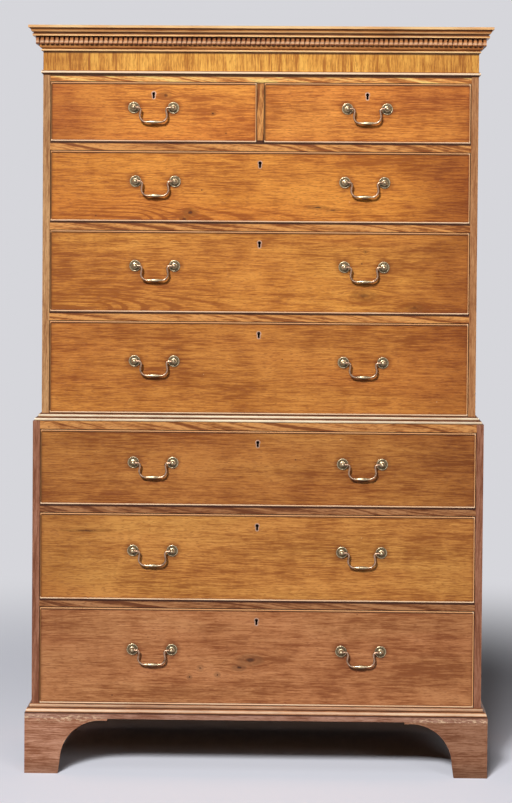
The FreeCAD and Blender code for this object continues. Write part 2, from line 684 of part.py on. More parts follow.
def bail(middle, face, z):
    """Swan-neck bail hanging from its two pins, with a swelling grip."""
    y = face - pivot_standoff

    def at(x, drop):
        return vector(middle + x, y, z - drop)

    shoulder = post_spacing / 2 - ball_radius
    turn = neck_turn
    neck_top = at(neck_start, 0)
    neck_middle = at(neck_start - neck_radius * math.sin(turn / 2), neck_radius * (1 - math.cos(turn / 2)))
    neck_end_x = neck_start - neck_radius * math.sin(turn)
    neck_end_drop = neck_radius * (1 - math.cos(turn))
    leg_end_x = neck_end_x - leg_length * math.cos(turn)
    leg_end_drop = neck_end_drop + leg_length * math.sin(turn)
    bow_x = leg_end_x - bow_radius * math.sin(turn)
    bow_drop = leg_end_drop - bow_radius * math.cos(turn)
    bow_middle = at(bow_x + bow_radius * math.sin(turn / 2), bow_drop + bow_radius * math.cos(turn / 2))
    grip_drop = bow_drop + bow_radius
    path = [Part.makeLine(at(shoulder, 0), neck_top),
            Part.Arc(neck_top, neck_middle, at(neck_end_x, neck_end_drop)).toShape(),
            Part.makeLine(at(neck_end_x, neck_end_drop), at(leg_end_x, leg_end_drop)),
            Part.Arc(at(leg_end_x, leg_end_drop), bow_middle, at(bow_x, grip_drop)).toShape()]
    ring = Part.Wire(Part.makeCircle(wire_radius, at(shoulder, 0), vector(1, 0, 0)))
    arm = Part.Wire(path).makePipeShell([ring], True, False)
    other = arm.mirror(vector(middle, 0, 0), vector(1, 0, 0))
    pins = []
    for side in (1, -1):
        pins.append(Part.makeCylinder(pin_radius, pin_length, at(side * shoulder, 0), vector(side, 0, 0)))
    grip = swelling(at, bow_x, grip_drop)
    return grip.fuse([arm, other] + pins).removeSplitter()


def drawer_list():
    """Name, opening and handle places of every drawer."""
    half = partition_thickness / 2
    short_middle = (upper_inside + half) / 2
    rows = [("short_left", -upper_inside, -half, upper_front, short_floor, short_head, [-short_middle]),
            ("short_right", half, upper_inside, upper_front, short_floor, short_head, [short_middle])]
    places = [-handle_place, handle_place]
    for name, floor, head in [("upper_second", upper_second_floor, upper_second_head),
                              ("upper_third", upper_third_floor, upper_third_head),
                              ("upper_fourth", upper_fourth_floor, upper_fourth_head)]:
        rows.append((name, -upper_inside, upper_inside, upper_front, floor, head, places))
    for name, floor, head in [("lower_first", lower_first_floor, lower_first_head),
                              ("lower_second", lower_second_floor, lower_second_head),
                              ("lower_third", lower_third_floor, lower_third_head)]:
        rows.append((name, -lower_inside, lower_inside, lower_front, floor, head, places))
    return rows


def handle_level(floor, head):
    """Height of the hinge line of a drawer's handles."""
    return head - (head - floor) * handle_height_share


def drawer_nodes(row):
    """All nodes of one drawer: front, box, fittings, lock bolt and bails."""
    name, x0, x1, face, floor, head, places = row
    middle = (x0 + x1) / 2
    level = handle_level(floor, head)
    posts = [(place + side * post_spacing / 2, level) for place in places for side in (-1, 1)]
    box, sides = drawer_box(x0, x1, face, floor, head)
    lock, bolt = drawer_lock(middle, face, head)
    fittings = [lock, escutcheon(middle, face, head)]
    for place in places:
        fittings += handle_fittings(place, face, level)
    nodes = {name + "_drawer_front": drawer_front(x0, x1, face, floor, head, posts, sides, box[3]),
             name + "_drawer_box": box,
             name + "_drawer_fittings": fittings,
             name + "_lock_bolt": [bolt]}
    ends = ["_bail"] if len(places) == 1 else ["_left_bail", "_right_bail"]
    for end, place in zip(ends, places):
        nodes[name + end] = [bail(place, face, level)]
    return nodes


def all_nodes():
    """Every node of the chest, by name."""
    upper_side = upper_sides()
    lower_side = lower_sides()
    nodes = {"upper_right_side": [upper_side],
             "upper_left_side": [mirrored(upper_side)],
             "lower_right_side": [lower_side],
             "lower_left_side": [mirrored(lower_side)],
             "case_boards": case_boards(),
             "drawer_rails": drawer_rails(),
             "drawer_runners": drawer_runners(),
             "back_boards": upright_boards(upper_inside, waist_level, case_top)
             + upright_boards(lower_inside, foot_height, waist_level),
             "frieze_board": frieze(),
             "cornice_mouldings": cornice(),
             "dentil_strips": dentil_strips(),
             "waist_moulding": mitred_run(waist_shares, waist_reach, waist_height, upper_half, upper_front,
                                          waist_level),
             "base_moulding": mitred_run(base_shares, base_reach, base_height, lower_half, lower_front,
                                         foot_height),
             "bracket_feet": bracket_feet()}
    for row in drawer_list():
        nodes.update(drawer_nodes(row))
    return nodes


def main():
    """Write every node to its own file."""
    os.makedirs("parts", exist_ok=True)
    for name, solids in all_nodes().items():
        shape = solids[0] if len(solids) == 1 else Part.makeCompound(solids)
        shape.exportStep(os.path.join("parts", name + ".step"))


if __name__ == "__main__":
    main()
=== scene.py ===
import json
import math

import bpy
import numpy as np
from bpy.props import FloatProperty, FloatVectorProperty, IntProperty, PointerProperty
from mathutils import Matrix, Vector

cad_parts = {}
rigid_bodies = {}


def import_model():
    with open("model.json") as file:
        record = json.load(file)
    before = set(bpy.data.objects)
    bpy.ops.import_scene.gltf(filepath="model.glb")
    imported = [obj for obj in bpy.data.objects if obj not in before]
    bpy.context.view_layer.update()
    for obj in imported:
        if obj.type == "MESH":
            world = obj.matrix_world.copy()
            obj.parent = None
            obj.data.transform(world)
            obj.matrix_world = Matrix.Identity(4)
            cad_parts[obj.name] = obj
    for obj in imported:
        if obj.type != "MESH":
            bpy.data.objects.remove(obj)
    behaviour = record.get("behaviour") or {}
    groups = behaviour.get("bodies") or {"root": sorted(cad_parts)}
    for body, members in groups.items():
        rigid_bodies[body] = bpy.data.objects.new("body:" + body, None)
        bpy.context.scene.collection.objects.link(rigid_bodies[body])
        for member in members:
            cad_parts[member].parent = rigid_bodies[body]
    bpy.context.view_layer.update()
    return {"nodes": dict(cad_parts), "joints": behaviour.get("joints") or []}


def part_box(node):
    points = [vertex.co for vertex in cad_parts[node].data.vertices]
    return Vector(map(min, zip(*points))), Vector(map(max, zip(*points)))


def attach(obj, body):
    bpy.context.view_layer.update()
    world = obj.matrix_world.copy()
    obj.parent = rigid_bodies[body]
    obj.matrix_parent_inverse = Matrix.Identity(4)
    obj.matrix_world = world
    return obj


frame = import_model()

# Finishes, screws and studio for a mahogany chest on chest. Metres, in the frame of the solids:
# X to the right, Y to the back, Z up, the origin on the floor under the middle of the box.

bl_info = {
    "name": "Chest on chest finishes",
    "version": (1, 0, 0),
    "blender": (4, 5, 0),
    "location": "3D View > Sidebar > Chest",
    "description": "Woods, brasses, screws and studio for a mahogany chest on chest",
    "category": "Object",
}

NODES = frame["nodes"]
DRAWERS = ("short_left", "short_right", "upper_second", "upper_third", "upper_fourth",
           "lower_first", "lower_second", "lower_third")
UPPER_DRAWERS = 5
UPPER_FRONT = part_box("upper_left_side")[0].y
LOWER_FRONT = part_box("lower_left_side")[0].y
UPPER_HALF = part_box("upper_right_side")[1].x
LOWER_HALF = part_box("lower_right_side")[1].x
WAIST_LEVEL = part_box("lower_left_side")[1].z
FRAME_PIXELS = 803              # longer side of the picture
BEAD_PROUD = 0.0022             # beads in front of a drawer's face
BACK_BOARDS = 6
SKIRT_SHARE = 0.40              # flat face under the base moulding, as a share of its height
NO_FACE = -1.0                  # a plane far in front of the chest, for brass that lies behind the wood


def tint(red, green, blue):
    """Linear colour of a shade given as three numbers from 0 to 255."""
    shares = np.array([red, green, blue]) / 255.0
    low = shares / 12.92
    high = ((shares + 0.055) / 1.055) ** 2.4
    return tuple(float(x) for x in np.where(shares <= 0.04045, low, high))


def scaled(base, share=1.0):
    """A colour made darker or lighter, with its alpha."""
    shares = share if isinstance(share, tuple) else (share,) * 3
    return tuple(min(1.0, b * s) for b, s in zip(base, shares)) + (1.0,)


DARK_HEART, PALE_NICK = scaled(tint(62, 32, 17)), scaled(tint(240, 206, 168))
# The second colour below is painted shade for gaps, hollows and faces turned from the front, with some dirt.
# The third colour below is painted shade inside keyholes.
DUST, SHADE_AND_GRIME, KEYHOLE_SHADE = scaled(tint(150, 138, 122)), scaled(tint(58, 22, 6)), scaled(tint(24, 18, 14))
IRON, RUST = scaled(tint(52, 46, 42)), scaled(tint(84, 56, 38))
TARNISH, VERDIGRIS = scaled(tint(72, 50, 30)), scaled(tint(52, 46, 28))
RUBBED_BRASS = scaled(tint(206, 164, 138))
BLACK = (0.0, 0.0, 0.0, 1.0)
# Shares that darken or warm what lies under them
# The first of these is painted shade on the ends of the drawer fronts and the frieze.
END_SHADE, REDDER, GOLDEN = (0.58, 0.46, 0.41, 1.0), (0.97, 0.90, 0.86, 1.0), (1.0, 1.0, 0.96, 1.0)
# This one is painted shade that darkens the right foot.
RIGHT_FOOT_SHADE = (0.67, 0.64, 0.58, 1.0)
# These darken round the roses and under the bails: dirt and wear, with the handle's shadow painted in.
ROSE_DIRT_AND_SHADOW, BAIL_WEAR_AND_SHADOW = (0.42, 0.30, 0.22, 1.0), (0.80, 0.68, 0.62, 1.0)
BORDER_DIRT = (0.55, 0.44, 0.38, 1.0)
ORIGIN = (0.0, 0.0, 0.0)
GRAIN_X, GRAIN_Y, GRAIN_Z = ORIGIN, (0.0, 0.0, -math.pi / 2), (0.0, math.pi / 2, 0.0)


def colour_property(label, note, shade):
    """Colour setting with a plain default."""
    return FloatVectorProperty(name=label, description=note, subtype="COLOR", size=3,
                               min=0.0, max=1.0, default=tint(*shade))


def share_property(label, note, value, top=1.0):
    """Strength setting between nothing and its top value."""
    return FloatProperty(name=label, description=note, subtype="FACTOR", min=0.0, max=top, default=value)


def length_property(label, note, value):
    """Length setting in metres."""
    return FloatProperty(name=label, description=note, subtype="DISTANCE", unit="LENGTH",
                         min=0.0, default=value, precision=4)


def power_property(label, note, value):
    """Lamp power setting in watts."""
    return FloatProperty(name=label, description=note, subtype="POWER", unit="POWER", default=value)


def angle_property(label, note, degrees):
    """Angle setting, given in degrees."""
    return FloatProperty(name=label, description=note, subtype="ANGLE", default=math.radians(degrees))


class ChestColours(bpy.types.PropertyGroup):
    """Mean colour of each wood and metal."""
    short_left: colour_property("Short left drawer", "Wood of the short left drawer front", (226, 141, 57))
    short_right: colour_property("Short right drawer", "Wood of the short right drawer front", (220, 137, 58))
    upper_second: colour_property("Second upper drawer", "Wood of the second row's front", (213, 133, 52))
    upper_third: colour_property("Third upper drawer", "Wood of the third row's front", (208, 136, 58))
    upper_fourth: colour_property("Fourth upper drawer", "Wood of the fourth row's front", (193, 121, 52))
    lower_first: colour_property("First lower drawer", "Wood of the fifth row's front", (179, 114, 53))
    lower_second: colour_property("Second lower drawer", "Wood of the sixth row's front", (196, 132, 64))
    lower_third: colour_property("Third lower drawer", "Wood of the lowest front", (181, 120, 75))
    bead: colour_property("Cockbeads", "Thin beads round the drawer fronts", (226, 156, 92))
    # The right side is set darker than the left as painted shade, with the light from the left.
    upper_left: colour_property("Upper left side", "Left side and stile of the upper case", (187, 136, 88))
    upper_right: colour_property("Upper right side", "Right side and stile of the upper case", (177, 121, 76))
    lower_case: colour_property("Lower sides", "Sides and stiles of the lower case", (154, 101, 75))
    upper_rails: colour_property("Upper rails", "Rails between the upper drawers", (196, 127, 64))
    top_rail: colour_property("Top rail", "Rail over the short drawers", (243, 168, 90))
    lower_rails: colour_property("Lower rails", "Rails between the lower drawers", (156, 101, 60))
    frieze: colour_property("Frieze", "Crossbanded face of the frieze", (228, 160, 69))
    moulding: colour_property("Cornice", "Mouldings of the cornice", (218, 140, 72))
    dentils: colour_property("Dentils", "Strip of teeth in the cornice", (196, 122, 64))
    # The pale edges of the cornice are a painted highlight, with wear.
    cornice: colour_property("Cornice edges", "Edges of the cornice worn pale", (252, 212, 152))
    waist: colour_property("Waist and base", "Mouldings of the waist and base", (178, 114, 70))
    # The pale edges of beads and mouldings are a painted highlight, with wear.
    rubbed: colour_property("Rubbed edges", "Edges of beads and mouldings worn pale", (255, 222, 185))
    # The pale edges of the waist moulding are a painted highlight, with wear from use.
    polished: colour_property("Waist edges", "Edges of the waist moulding polished by use", (255, 242, 208))
    feet: colour_property("Feet", "Bracket feet", (180, 126, 97))
    skirt: colour_property("Skirt", "Flat face under the base moulding", (168, 121, 98))
    oak: colour_property("Oak", "Drawer linings and runners", (176, 134, 86))
    pine: colour_property("Pine", "Back boards, tops and bottoms", (160, 116, 76))
    brass: colour_property("Brass", "Roses, keyhole linings, locks and grips", (206, 186, 150))
    bail: colour_property("Bails", "Browned bows of the handles", (194, 158, 130))


class ChestSurface(bpy.types.PropertyGroup):
    """Strength of the marks that use has left."""
    grain: share_property("Grain", "Contrast of the streaks in every wood", 1.0, 2.0)
    dirt: share_property("Dirt", "Darkening along edges and round fittings", 0.55)
    wear: share_property("Wear", "Unevenness of the pale rubbed beads", 0.5)
    tarnish: share_property("Tarnish", "Dulling in the hollows of the brass", 0.7)


class ChestScrews(bpy.types.PropertyGroup):
    """Sizes of the screws that hold the locks."""
    radius: length_property("Head radius", "Radius of a screw head", 0.0032)
    rim: length_property("Rim", "Height of a screw head's rim above the plate", 0.0009)
    rise: length_property("Head rise", "Crown of a screw head above its rim", 0.0006)
    slot_depth: length_property("Slot depth", "Depth of the driving slot", 0.0008)
    slot_share: share_property("Slot width", "Width of the slot as a share of the head", 0.16)
    spread: length_property("Spread", "Screws to each side of the lock's middle", 0.0245)
    margin: length_property("Margin", "Upper screws under the drawer's edge", 0.0065)
    drop: length_property("Drop", "Lower screws under the drawer's edge", 0.0385)
    steps: IntProperty(name="Steps", description="Rows of faces across a head", default=10, min=4, max=40)


class ChestStudio(bpy.types.PropertyGroup):
    """Camera, lamps and floor."""
    camera_place: FloatVectorProperty(name="Camera place", description="Where the camera stands", size=3,
                                      subtype="TRANSLATION", unit="LENGTH", default=(0.0995, -6.5, 1.3738))
    yaw: angle_property("Yaw", "Turn of the camera to the right", -1.25)
    pitch: angle_property("Pitch", "Tilt of the camera upwards", -2.0054)
    roll: angle_property("Roll", "Roll of the camera", 0.4267)
    focal_pixels: FloatProperty(name="Focal length", description="Focal length in pixels of the picture",
                                subtype="PIXEL", default=2519.215)
    shift_pixels: FloatVectorProperty(name="Shift", description="Shift of the picture to the right and down",
                                      size=2, default=(-12.0, -90.0))
    key_power: power_property("Key", "Large lamp at the upper left", 3760.0)
    fill_power: power_property("Fill", "Large lamp at the right", 90.0)
    top_power: power_property("Top", "Lamp over the front of the chest", 25.0)
    floor_power: power_property("Floor lamp", "Lamp that lights only the floor", 1390.0)
    side_power: power_property("Sides", "Lamps that light only the sides and back of the chest", 110.0)
    ambient: share_property("Ambient", "Even light from all round", 0.009)
    mirrored: share_property("Mirrored", "Share of the backdrop's brightness that metal shows", 0.4)
    floor_colour: colour_property("Floor", "Floor under and round the chest", (238, 240, 250))
    floor_bounce: share_property("Bounce", "Share of the floor's colour that lights the chest", 0.22)
    backdrop_colour: colour_property("Backdrop", "Backdrop as it is seen", (214, 214, 219))
    floor_half: length_property("Floor size", "Half the side of the floor", 60.0)
    fade_start: length_property("Fade start", "Where the floor begins to fade, from the chest's middle", 1.3)
    fade_end: length_property("Fade end", "Where the floor has faded into the backdrop", 3.4)


# Building nodes

def stepping(operation):
    """A method that adds a node for one step of arithmetic."""
    return lambda *values: step(operation, *values)


class Wire:
    """One output in a node tree that takes part in plain arithmetic, where each step adds a node."""
    __add__, __sub__, __mul__, __truediv__ = map(stepping, ("ADD", "SUBTRACT", "MULTIPLY", "DIVIDE"))
    __pow__, __gt__, __lt__, __abs__ = map(stepping, ("POWER", "GREATER_THAN", "LESS_THAN", "ABSOLUTE"))

    def __init__(self, tree, socket):
        self.tree, self.socket = tree, socket

    def __rsub__(self, other):
        return step("SUBTRACT", other, self)


class Wires:
    """The outputs of a node as wires with the sockets' names in small letters."""

    def __init__(self, tree, sockets):
        for socket in sockets:
            setattr(self, socket.name.lower().replace(" ", "_"), Wire(tree, socket))


def tree_of(*values):
    """The node tree of the first wire among some values."""
    return next(value.tree for value in values if isinstance(value, Wire))


def feed(node, values):
    """Feeds a node's inputs from wires or plain values."""
    for key, value in values.items():
        if isinstance(value, Wire):
            value.tree.links.new(value.socket, node.inputs[key])
        else:
            node.inputs[key].default_value = value


def put(tree, kind, values, output, **settings):
    """Adds a node, sets it up and feeds its inputs: one of its outputs."""
    made = tree.nodes.new(kind)
    for key, value in settings.items():
        setattr(made, key, value)
    feed(made, values)
    return Wire(tree, made.outputs[output])


def step(operation, *values, clamp=False):
    """One step of arithmetic, on vectors where a vector or a colour takes part."""
    tree = tree_of(*values)
    if any(isinstance(v, tuple) or isinstance(v, Wire) and v.socket.type != "VALUE" for v in values):
        values = [(v, v, v) if isinstance(v, float) else v for v in values]
        return put(tree, "ShaderNodeVectorMath", dict(enumerate(values)),
                   "Value" if operation == "LENGTH" else "Vector", operation=operation)
    return put(tree, "ShaderNodeMath", dict(enumerate(values)), 0, operation=operation, use_clamp=clamp)


def most(first, second):
    """The larger of two values."""
    return step("MAXIMUM", first, second)


def least(first, second):
    """The smaller of two values."""
    return step("MINIMUM", first, second)


def clamped(value):
    """A value kept between 0 and 1."""
    return step("ADD", value, 0.0, clamp=True)


def length(vector):
    """Length of a vector."""
    return step("LENGTH", vector)


def span(value, low, high, to_low=0.0, to_high=1.0):
    """Smooth step of a value between two limits."""
    limits = {"From Min": low, "From Max": high, "To Min": to_low, "To Max": to_high}
    return put(value.tree, "ShaderNodeMapRange", {"Value": value, **limits}, "Result",
               interpolation_type="SMOOTHSTEP", clamp=True)


def blend(factor, first, second, mode="MIX"):
    """Mix of two colours."""
    return put(tree_of(factor, first, second), "ShaderNodeMix", {0: factor, 6: first, 7: second}, 2,
               data_type="RGBA", blend_type=mode, clamp_factor=True)


def pick_vector(factor, first, second):
    """Mix of two vectors."""
    return put(factor.tree, "ShaderNodeMix", {0: factor, 4: first, 5: second}, 1, data_type="VECTOR",
               clamp_factor=True)


def cloud(vector, stretch, detail=2.0, rough=0.5, twist=0.0, output="Fac"):
    """Noise, stretched by its number of waves in a metre, in all or along each axis."""
    return put(vector.tree, "ShaderNodeTexNoise", {"Vector": vector * stretch, "Scale": 1.0, "Detail": detail,
                                                   "Roughness": rough, "Distortion": twist}, output)


def parts(vector):
    """The three coordinates of a vector."""
    made = put(vector.tree, "ShaderNodeSeparateXYZ", {0: vector}, 0).socket.node
    return [Wire(vector.tree, socket) for socket in made.outputs]


def joined(x, y, z):
    """A vector from three coordinates."""
    return put(tree_of(x, y, z), "ShaderNodeCombineXYZ", {0: x, 1: y, 2: z}, 0)


def turned(vector, turn):
    """Object coordinates with the grain laid along X."""
    return put(vector.tree, "ShaderNodeMapping", {"Vector": vector, "Rotation": turn}, 0)


def nearest(value, levels):
    """Distance from a value to the nearest of several levels."""
    far = abs(value - levels[0])
    for level in levels[1:]:
        far = least(far, abs(value - level))
    return far


def socket_name(key):
    """Name of a group's socket from a word of the script."""
    return key.replace("_", " ").capitalize()


SOCKETS = {"VALUE": "NodeSocketFloat", "RGBA": "NodeSocketColor", "VECTOR": "NodeSocketVector"}
KINDS = {1: "VALUE", 3: "VECTOR", 4: "RGBA"}


def new_group(name, inputs, build):
    """Shader group round the nodes that a function makes from its inputs: one number is a value, three are
    a vector and four a colour."""
    tree = bpy.data.node_groups.new(name, "ShaderNodeTree")
    for key, default in inputs.items():
        socket = tree.interface.new_socket(socket_name(key), in_out="INPUT",
                                           socket_type=SOCKETS[KINDS[np.size(default)]])
        socket.default_value = default
    made = build(Wires(tree, tree.nodes.new("NodeGroupInput").outputs))
    for key, wire in made.items():
        tree.interface.new_socket(socket_name(key), in_out="OUTPUT", socket_type=SOCKETS[wire.socket.type])
    feed(tree.nodes.new("NodeGroupOutput"), {socket_name(key): wire for key, wire in made.items()})
    return tree


def effect(name, **inputs):
    """Turns a function from wires that come in, a vector and others, to named wires that go out into a
    shader group, which is built at its first use. Calling it places the group, with values for some
    inputs."""
    def wrap(build):
        def place(vector, **values):
            made = vector.tree.nodes.new("ShaderNodeGroup")
            made.node_tree = (bpy.data.node_groups.get(name)
                              or new_group(name, {"vector": ORIGIN, **inputs}, build))
            feed(made, {"Vector": vector, **{socket_name(key): value for key, value in values.items()}})
            return Wires(vector.tree, made.outputs)
        return place
    return wrap


# Effects that several materials share. Pairs of lengths are where a mask is nothing and where it is full.

BEAD_EDGE = (0.006, 0.004)                  # from a drawer's edge over its bead
TOP_LINE = (0.0034, 0.0014)                 # painted shadow under the top bead, with dirt
INNER_LINE = (0.0022, 0.0006)               # fainter painted shade, with dirt, along the inside of all beads
FAINT = 0.45                                # strength of that one, and of the highlight, painted with wear, on the right and top beads
END_LINE = (0.0014, 0.0006)                 # painted shade along the outside of a drawer's ends, in the gap
RAGGED_GRIME_AND_SHADOW = 0.012                        # how far dirt and painted shadow reach round a rose, and how much that varies
BAIL_DROP, BAIL_SQUASH = 0.040, 2.2         # patch of wear and painted shadow under a handle: below its posts, and flattened
BAIL_PATCH = (0.060, 0.015)
OFF_FACE = (0.0003, 0.0007)                 # brass in front of a drawer's face
ROSE_HOLLOW = (0.0021, 0.0012)              # hollow of a rose, in front of the face
FLUSH = (0.0005, 0.0002)                    # brass level with the face
KEYHOLE_MOUTH, KEYHOLE_END = (-0.0004, -0.0012), (-0.0195, -0.0185)


@effect("wood figure", seed=0.0, pith=(0.0, 0.05, -0.5), taper=0.03, apex=0.0, apex_length=0.06,
        spacing=0.012, rings=0.8, streaks=0.8, wave=0.012, mottle=0.3, pores=0.4,
        dark=BLACK, middle=BLACK, light=BLACK)
def wood_figure(given):
    """Sawn wood with its grain along X. Rings are noise of the distance from a pith that drifts with a
    taper and bends round an apex, streaks and pores are noise drawn out along the grain, and all sway with
    a slow wave."""
    place = given.vector + joined(given.seed, given.seed, given.seed) * (1.71, 2.33, 3.17)
    slow = cloud(place, (1.6, 5.0, 5.0), output="Color") - 0.5
    sway = slow * joined(0.0, given.wave, given.wave) * (0.0, 2.0, 2.0)
    along = place + sway
    x, y, z = parts(given.vector + sway - given.pith)
    ahead = most(x, 0.0)
    lift = ahead / (ahead / given.apex_length + 1.0) * given.apex
    across = length(joined(lift, y, z))
    turns = given.seed * 7.7 + (x * given.taper + across) / given.spacing
    ring = put(turns.tree, "ShaderNodeTexNoise", {"W": turns, "Scale": 1.0, "Detail": 3.0, "Roughness": 0.6},
               0, noise_dimensions="1D")
    streak = cloud(along, (6.0, 70.0, 70.0), 3.0, 0.6)
    hair = cloud(along, (22.0, 330.0, 330.0), 2.0, 0.6)
    fleck = cloud(along, (130.0, 430.0, 430.0), 1.0)
    pore = span(cloud(along, (75.0, 560.0, 560.0), 1.0), 0.54, 0.70)
    cloudy = cloud(place, (13.0, 11.0, 11.0), 3.0, 0.55, 0.6)
    broad = cloud(along, (1.7, 9.0, 9.0))
    fine = (streak - 0.5) * 1.4 + (hair - 0.5) * 2.7 + (fleck - 0.5) * 0.5
    total = (ring - 0.5) * given.rings + fine * given.streaks
    total = total + (cloudy - 0.5) * given.mottle + (broad - 0.5) * 1.5
    near = span(across, 0.075, 0.02) * span(x, -0.22, -0.05)
    arcs = span(step("SINE", turns * (2.0 * math.pi)), 0.2, 0.95)
    level = total - arcs * near * (given.apex * 1.5) + 0.5
    wood = blend(clamped(level * 2.0), given.dark, given.middle)
    wood = blend(clamped(level * 2.0 - 1.0), wood, given.light)
    return {"color": blend(pore * given.pores, wood, given.dark), "height": hair * 0.5 - pore,
            "gloss": pore * 0.5 + cloudy * 0.5 - 0.25}


@effect("knot", middle=ORIGIN, radius=0.006, stretch=1.8)
def board_knot(given):
    """A knot in a board: masks of its dark heart and its ring, and how far it pulls the grain, all from the
    stretched distance to its middle in the plane of the face."""
    wobble = (cloud(given.vector, 60.0, output="Color") - 0.5) * (0.008, 0.0, 0.006)
    x, _, z = parts(given.vector + wobble - given.middle)
    far = length(joined(x / given.stretch, 0.0, z)) / given.radius
    return {"heart": span(far, 1.1, 0.3), "ring": span(far, 0.7, 1.2) * span(far, 2.6, 1.3),
            "pull": z * span(far, 5.0, 0.8) * -0.75}


@effect("panel edges", low=ORIGIN, high=(1.0, 1.0, 1.0), broad=0.24, narrow=0.012, bead=0.0032)
def panel_edges(given):
    """Masks of a panel's border from the distance to its four edges in the plane of the face: two broad ones
    that fade inwards from the ends, for painted shade, a narrow ragged one, a fine line along the inside of
    the bead, strongest under the top one, for painted shadow, another along the outside at the ends, for
    painted shade in the gap, and how much each bead is lit, the bottom one most, for a painted highlight."""
    left, _, bottom = parts(given.vector - given.low)
    right, _, top = parts(given.high - given.vector)
    drift = (cloud(given.vector, (2.5, 9.0, 9.0), 3.0) - 0.5) * given.broad
    side, level = least(left, right), least(bottom, top)
    ragged = side + (cloud(given.vector, 26.0, 3.0, 0.6) - 0.5) * given.narrow
    shaded = span(top - given.bead, *TOP_LINE)
    fine = span(least(side, level) - given.bead, *INNER_LINE) * FAINT
    lit = span(bottom, *BEAD_EDGE) + (span(right, *BEAD_EDGE) + span(top, *BEAD_EDGE)) * FAINT
    return {"left": span(left + drift, given.broad, 0.0), "right": span(right + drift, given.broad, 0.0),
            "border": span(least(level, ragged), given.narrow, 0.0), "line": most(shaded, fine),
            "rim": span(side, *END_LINE), "lit": least(lit, 1.0)}


@effect("age marks", seed=0.0)
def age_marks(given):
    """Small marks of age: dark spots, pale nicks and a slow drift of the polish, from cell and cloud
    noise."""
    place = given.vector + joined(given.seed, given.seed, given.seed)

    def dots(count, radius, share):
        """Round dots in a share of the cells, with so many cells in a metre."""
        cell = put(place.tree, "ShaderNodeTexVoronoi", {"Vector": place, "Scale": count}, "Color",
                   feature="F1")
        far = Wires(place.tree, cell.socket.node.outputs).distance
        return span(far, radius * count, radius * count * 0.4) * (parts(cell)[0] > 1.0 - share)

    return {"spots": most(dots(23.0, 0.0026, 0.10), dots(60.0, 0.0014, 0.06)),
            "nicks": dots(31.0, 0.0020, 0.05), "polish": cloud(place, 5.0, 4.0, 0.6)}


@effect("moulded run", half=0.5, front=-0.2)
def moulded_run(given):
    """Mouldings that turn a corner: how far a point stands out past the front or side plane, and a mask of
    the returns, 1 where it lies further out past the side than past the front, so the change falls on the
    mitre."""
    x, y, _ = parts(given.vector)
    side, ahead = abs(x) - given.half, given.front - y
    return {"returns": side > ahead, "proud": most(side, ahead)}


@effect("grime", middle=ORIGIN, reach=0.049, rose=0.0145)
def handle_grime_and_shadow(given):
    """Dirt that polishing leaves round a handle, with the handle's shadow painted in: a ring outside each of
    its two roses, from the distance to the nearer post in the plane of the face, and a soft patch of wear and
    painted shadow where the bail rests, from a stretched distance."""
    x, _, z = parts(given.vector - given.middle)
    far = length(joined(abs(x) - given.reach, 0.0, z)) - given.rose
    ragged = far + (cloud(given.vector, 70.0, 3.0) - 0.5) * RAGGED_GRIME_AND_SHADOW
    lower = (z + BAIL_DROP) * BAIL_SQUASH
    return {"grime": span(ragged, RAGGED_GRIME_AND_SHADOW, 0.0), "rub": span(length(joined(x, 0.0, lower)), *BAIL_PATCH)}


@effect("tarnish", normal=(0.0, 0.0, 1.0), brass=BLACK, tarnish=0.5, face=-0.24)
def brass_tarnish(given):
    """Old brass: brown and green dulling in cloud noise, strongest in the hollow of a rose, where a rag can't
    reach, and on sides that look down or back, where it is partly painted shade, black inside a keyhole as
    painted shade, with fine scratches as noise drawn out along X."""
    slow = cloud(given.vector, 110.0, 3.0, 0.6)
    fine = cloud(given.vector, 900.0)
    scratch = cloud(given.vector, (260.0, 2600.0, 2600.0))
    _, back, up = parts(given.normal)
    ahead = given.face - parts(given.vector)[1]
    proud = span(ahead, *OFF_FACE)
    hollow = span(ahead, *ROSE_HOLLOW) * proud
    # Sides that look down or back are darker: partly tarnish, partly painted shade.
    away = most(span(up, 0.0, -0.75), span(back, -0.35, 0.25)) * proud
    dull = most(span(slow, 0.46, 0.72), most(hollow, away)) * given.tarnish
    green = most(span(fine, 0.5, 0.7), hollow) * dull
    metal = blend(green * 0.6, blend(dull, given.brass, TARNISH), VERDIGRIS)
    metal = blend(span(abs(ahead), *FLUSH), metal, RUBBED_BRASS)
    # The inside of a keyhole is painted black as shade.
    sunk = span(ahead, *KEYHOLE_MOUTH) * span(ahead, *KEYHOLE_END) * span(up, 0.8, 0.6)
    return {"color": blend(sunk, metal, KEYHOLE_SHADE), "roughness": scratch * 0.12 + dull * 0.22 + 0.26,
            "height": fine * 0.4 + scratch}


@effect("chips", level=0.0, reach=0.014, inner=0.36)
def edge_chips(given):
    """Small splinters broken out along an edge: cloud noise past a limit, in a band about one level and
    outside a distance from the middle."""
    x, _, z = parts(given.vector)
    band = span(abs(z - given.level), given.reach, 0.0) * span(abs(x), given.inner, given.inner + 0.06)
    return {"chips": span(cloud(given.vector, (110.0, 110.0, 260.0), 3.0, 0.6), 0.52, 0.60) * band}


@effect("dust", normal=(0.0, 0.0, 1.0))
def settled_dust(given):
    """Dust on faces that look up: the upward part of the normal, broken by cloud noise."""
    patch = span(cloud(given.vector, 9.0, 4.0, 0.65), 0.3, 0.75)
    return {"dust": span(parts(given.normal)[2], 0.6, 1.0) * patch}


# Materials

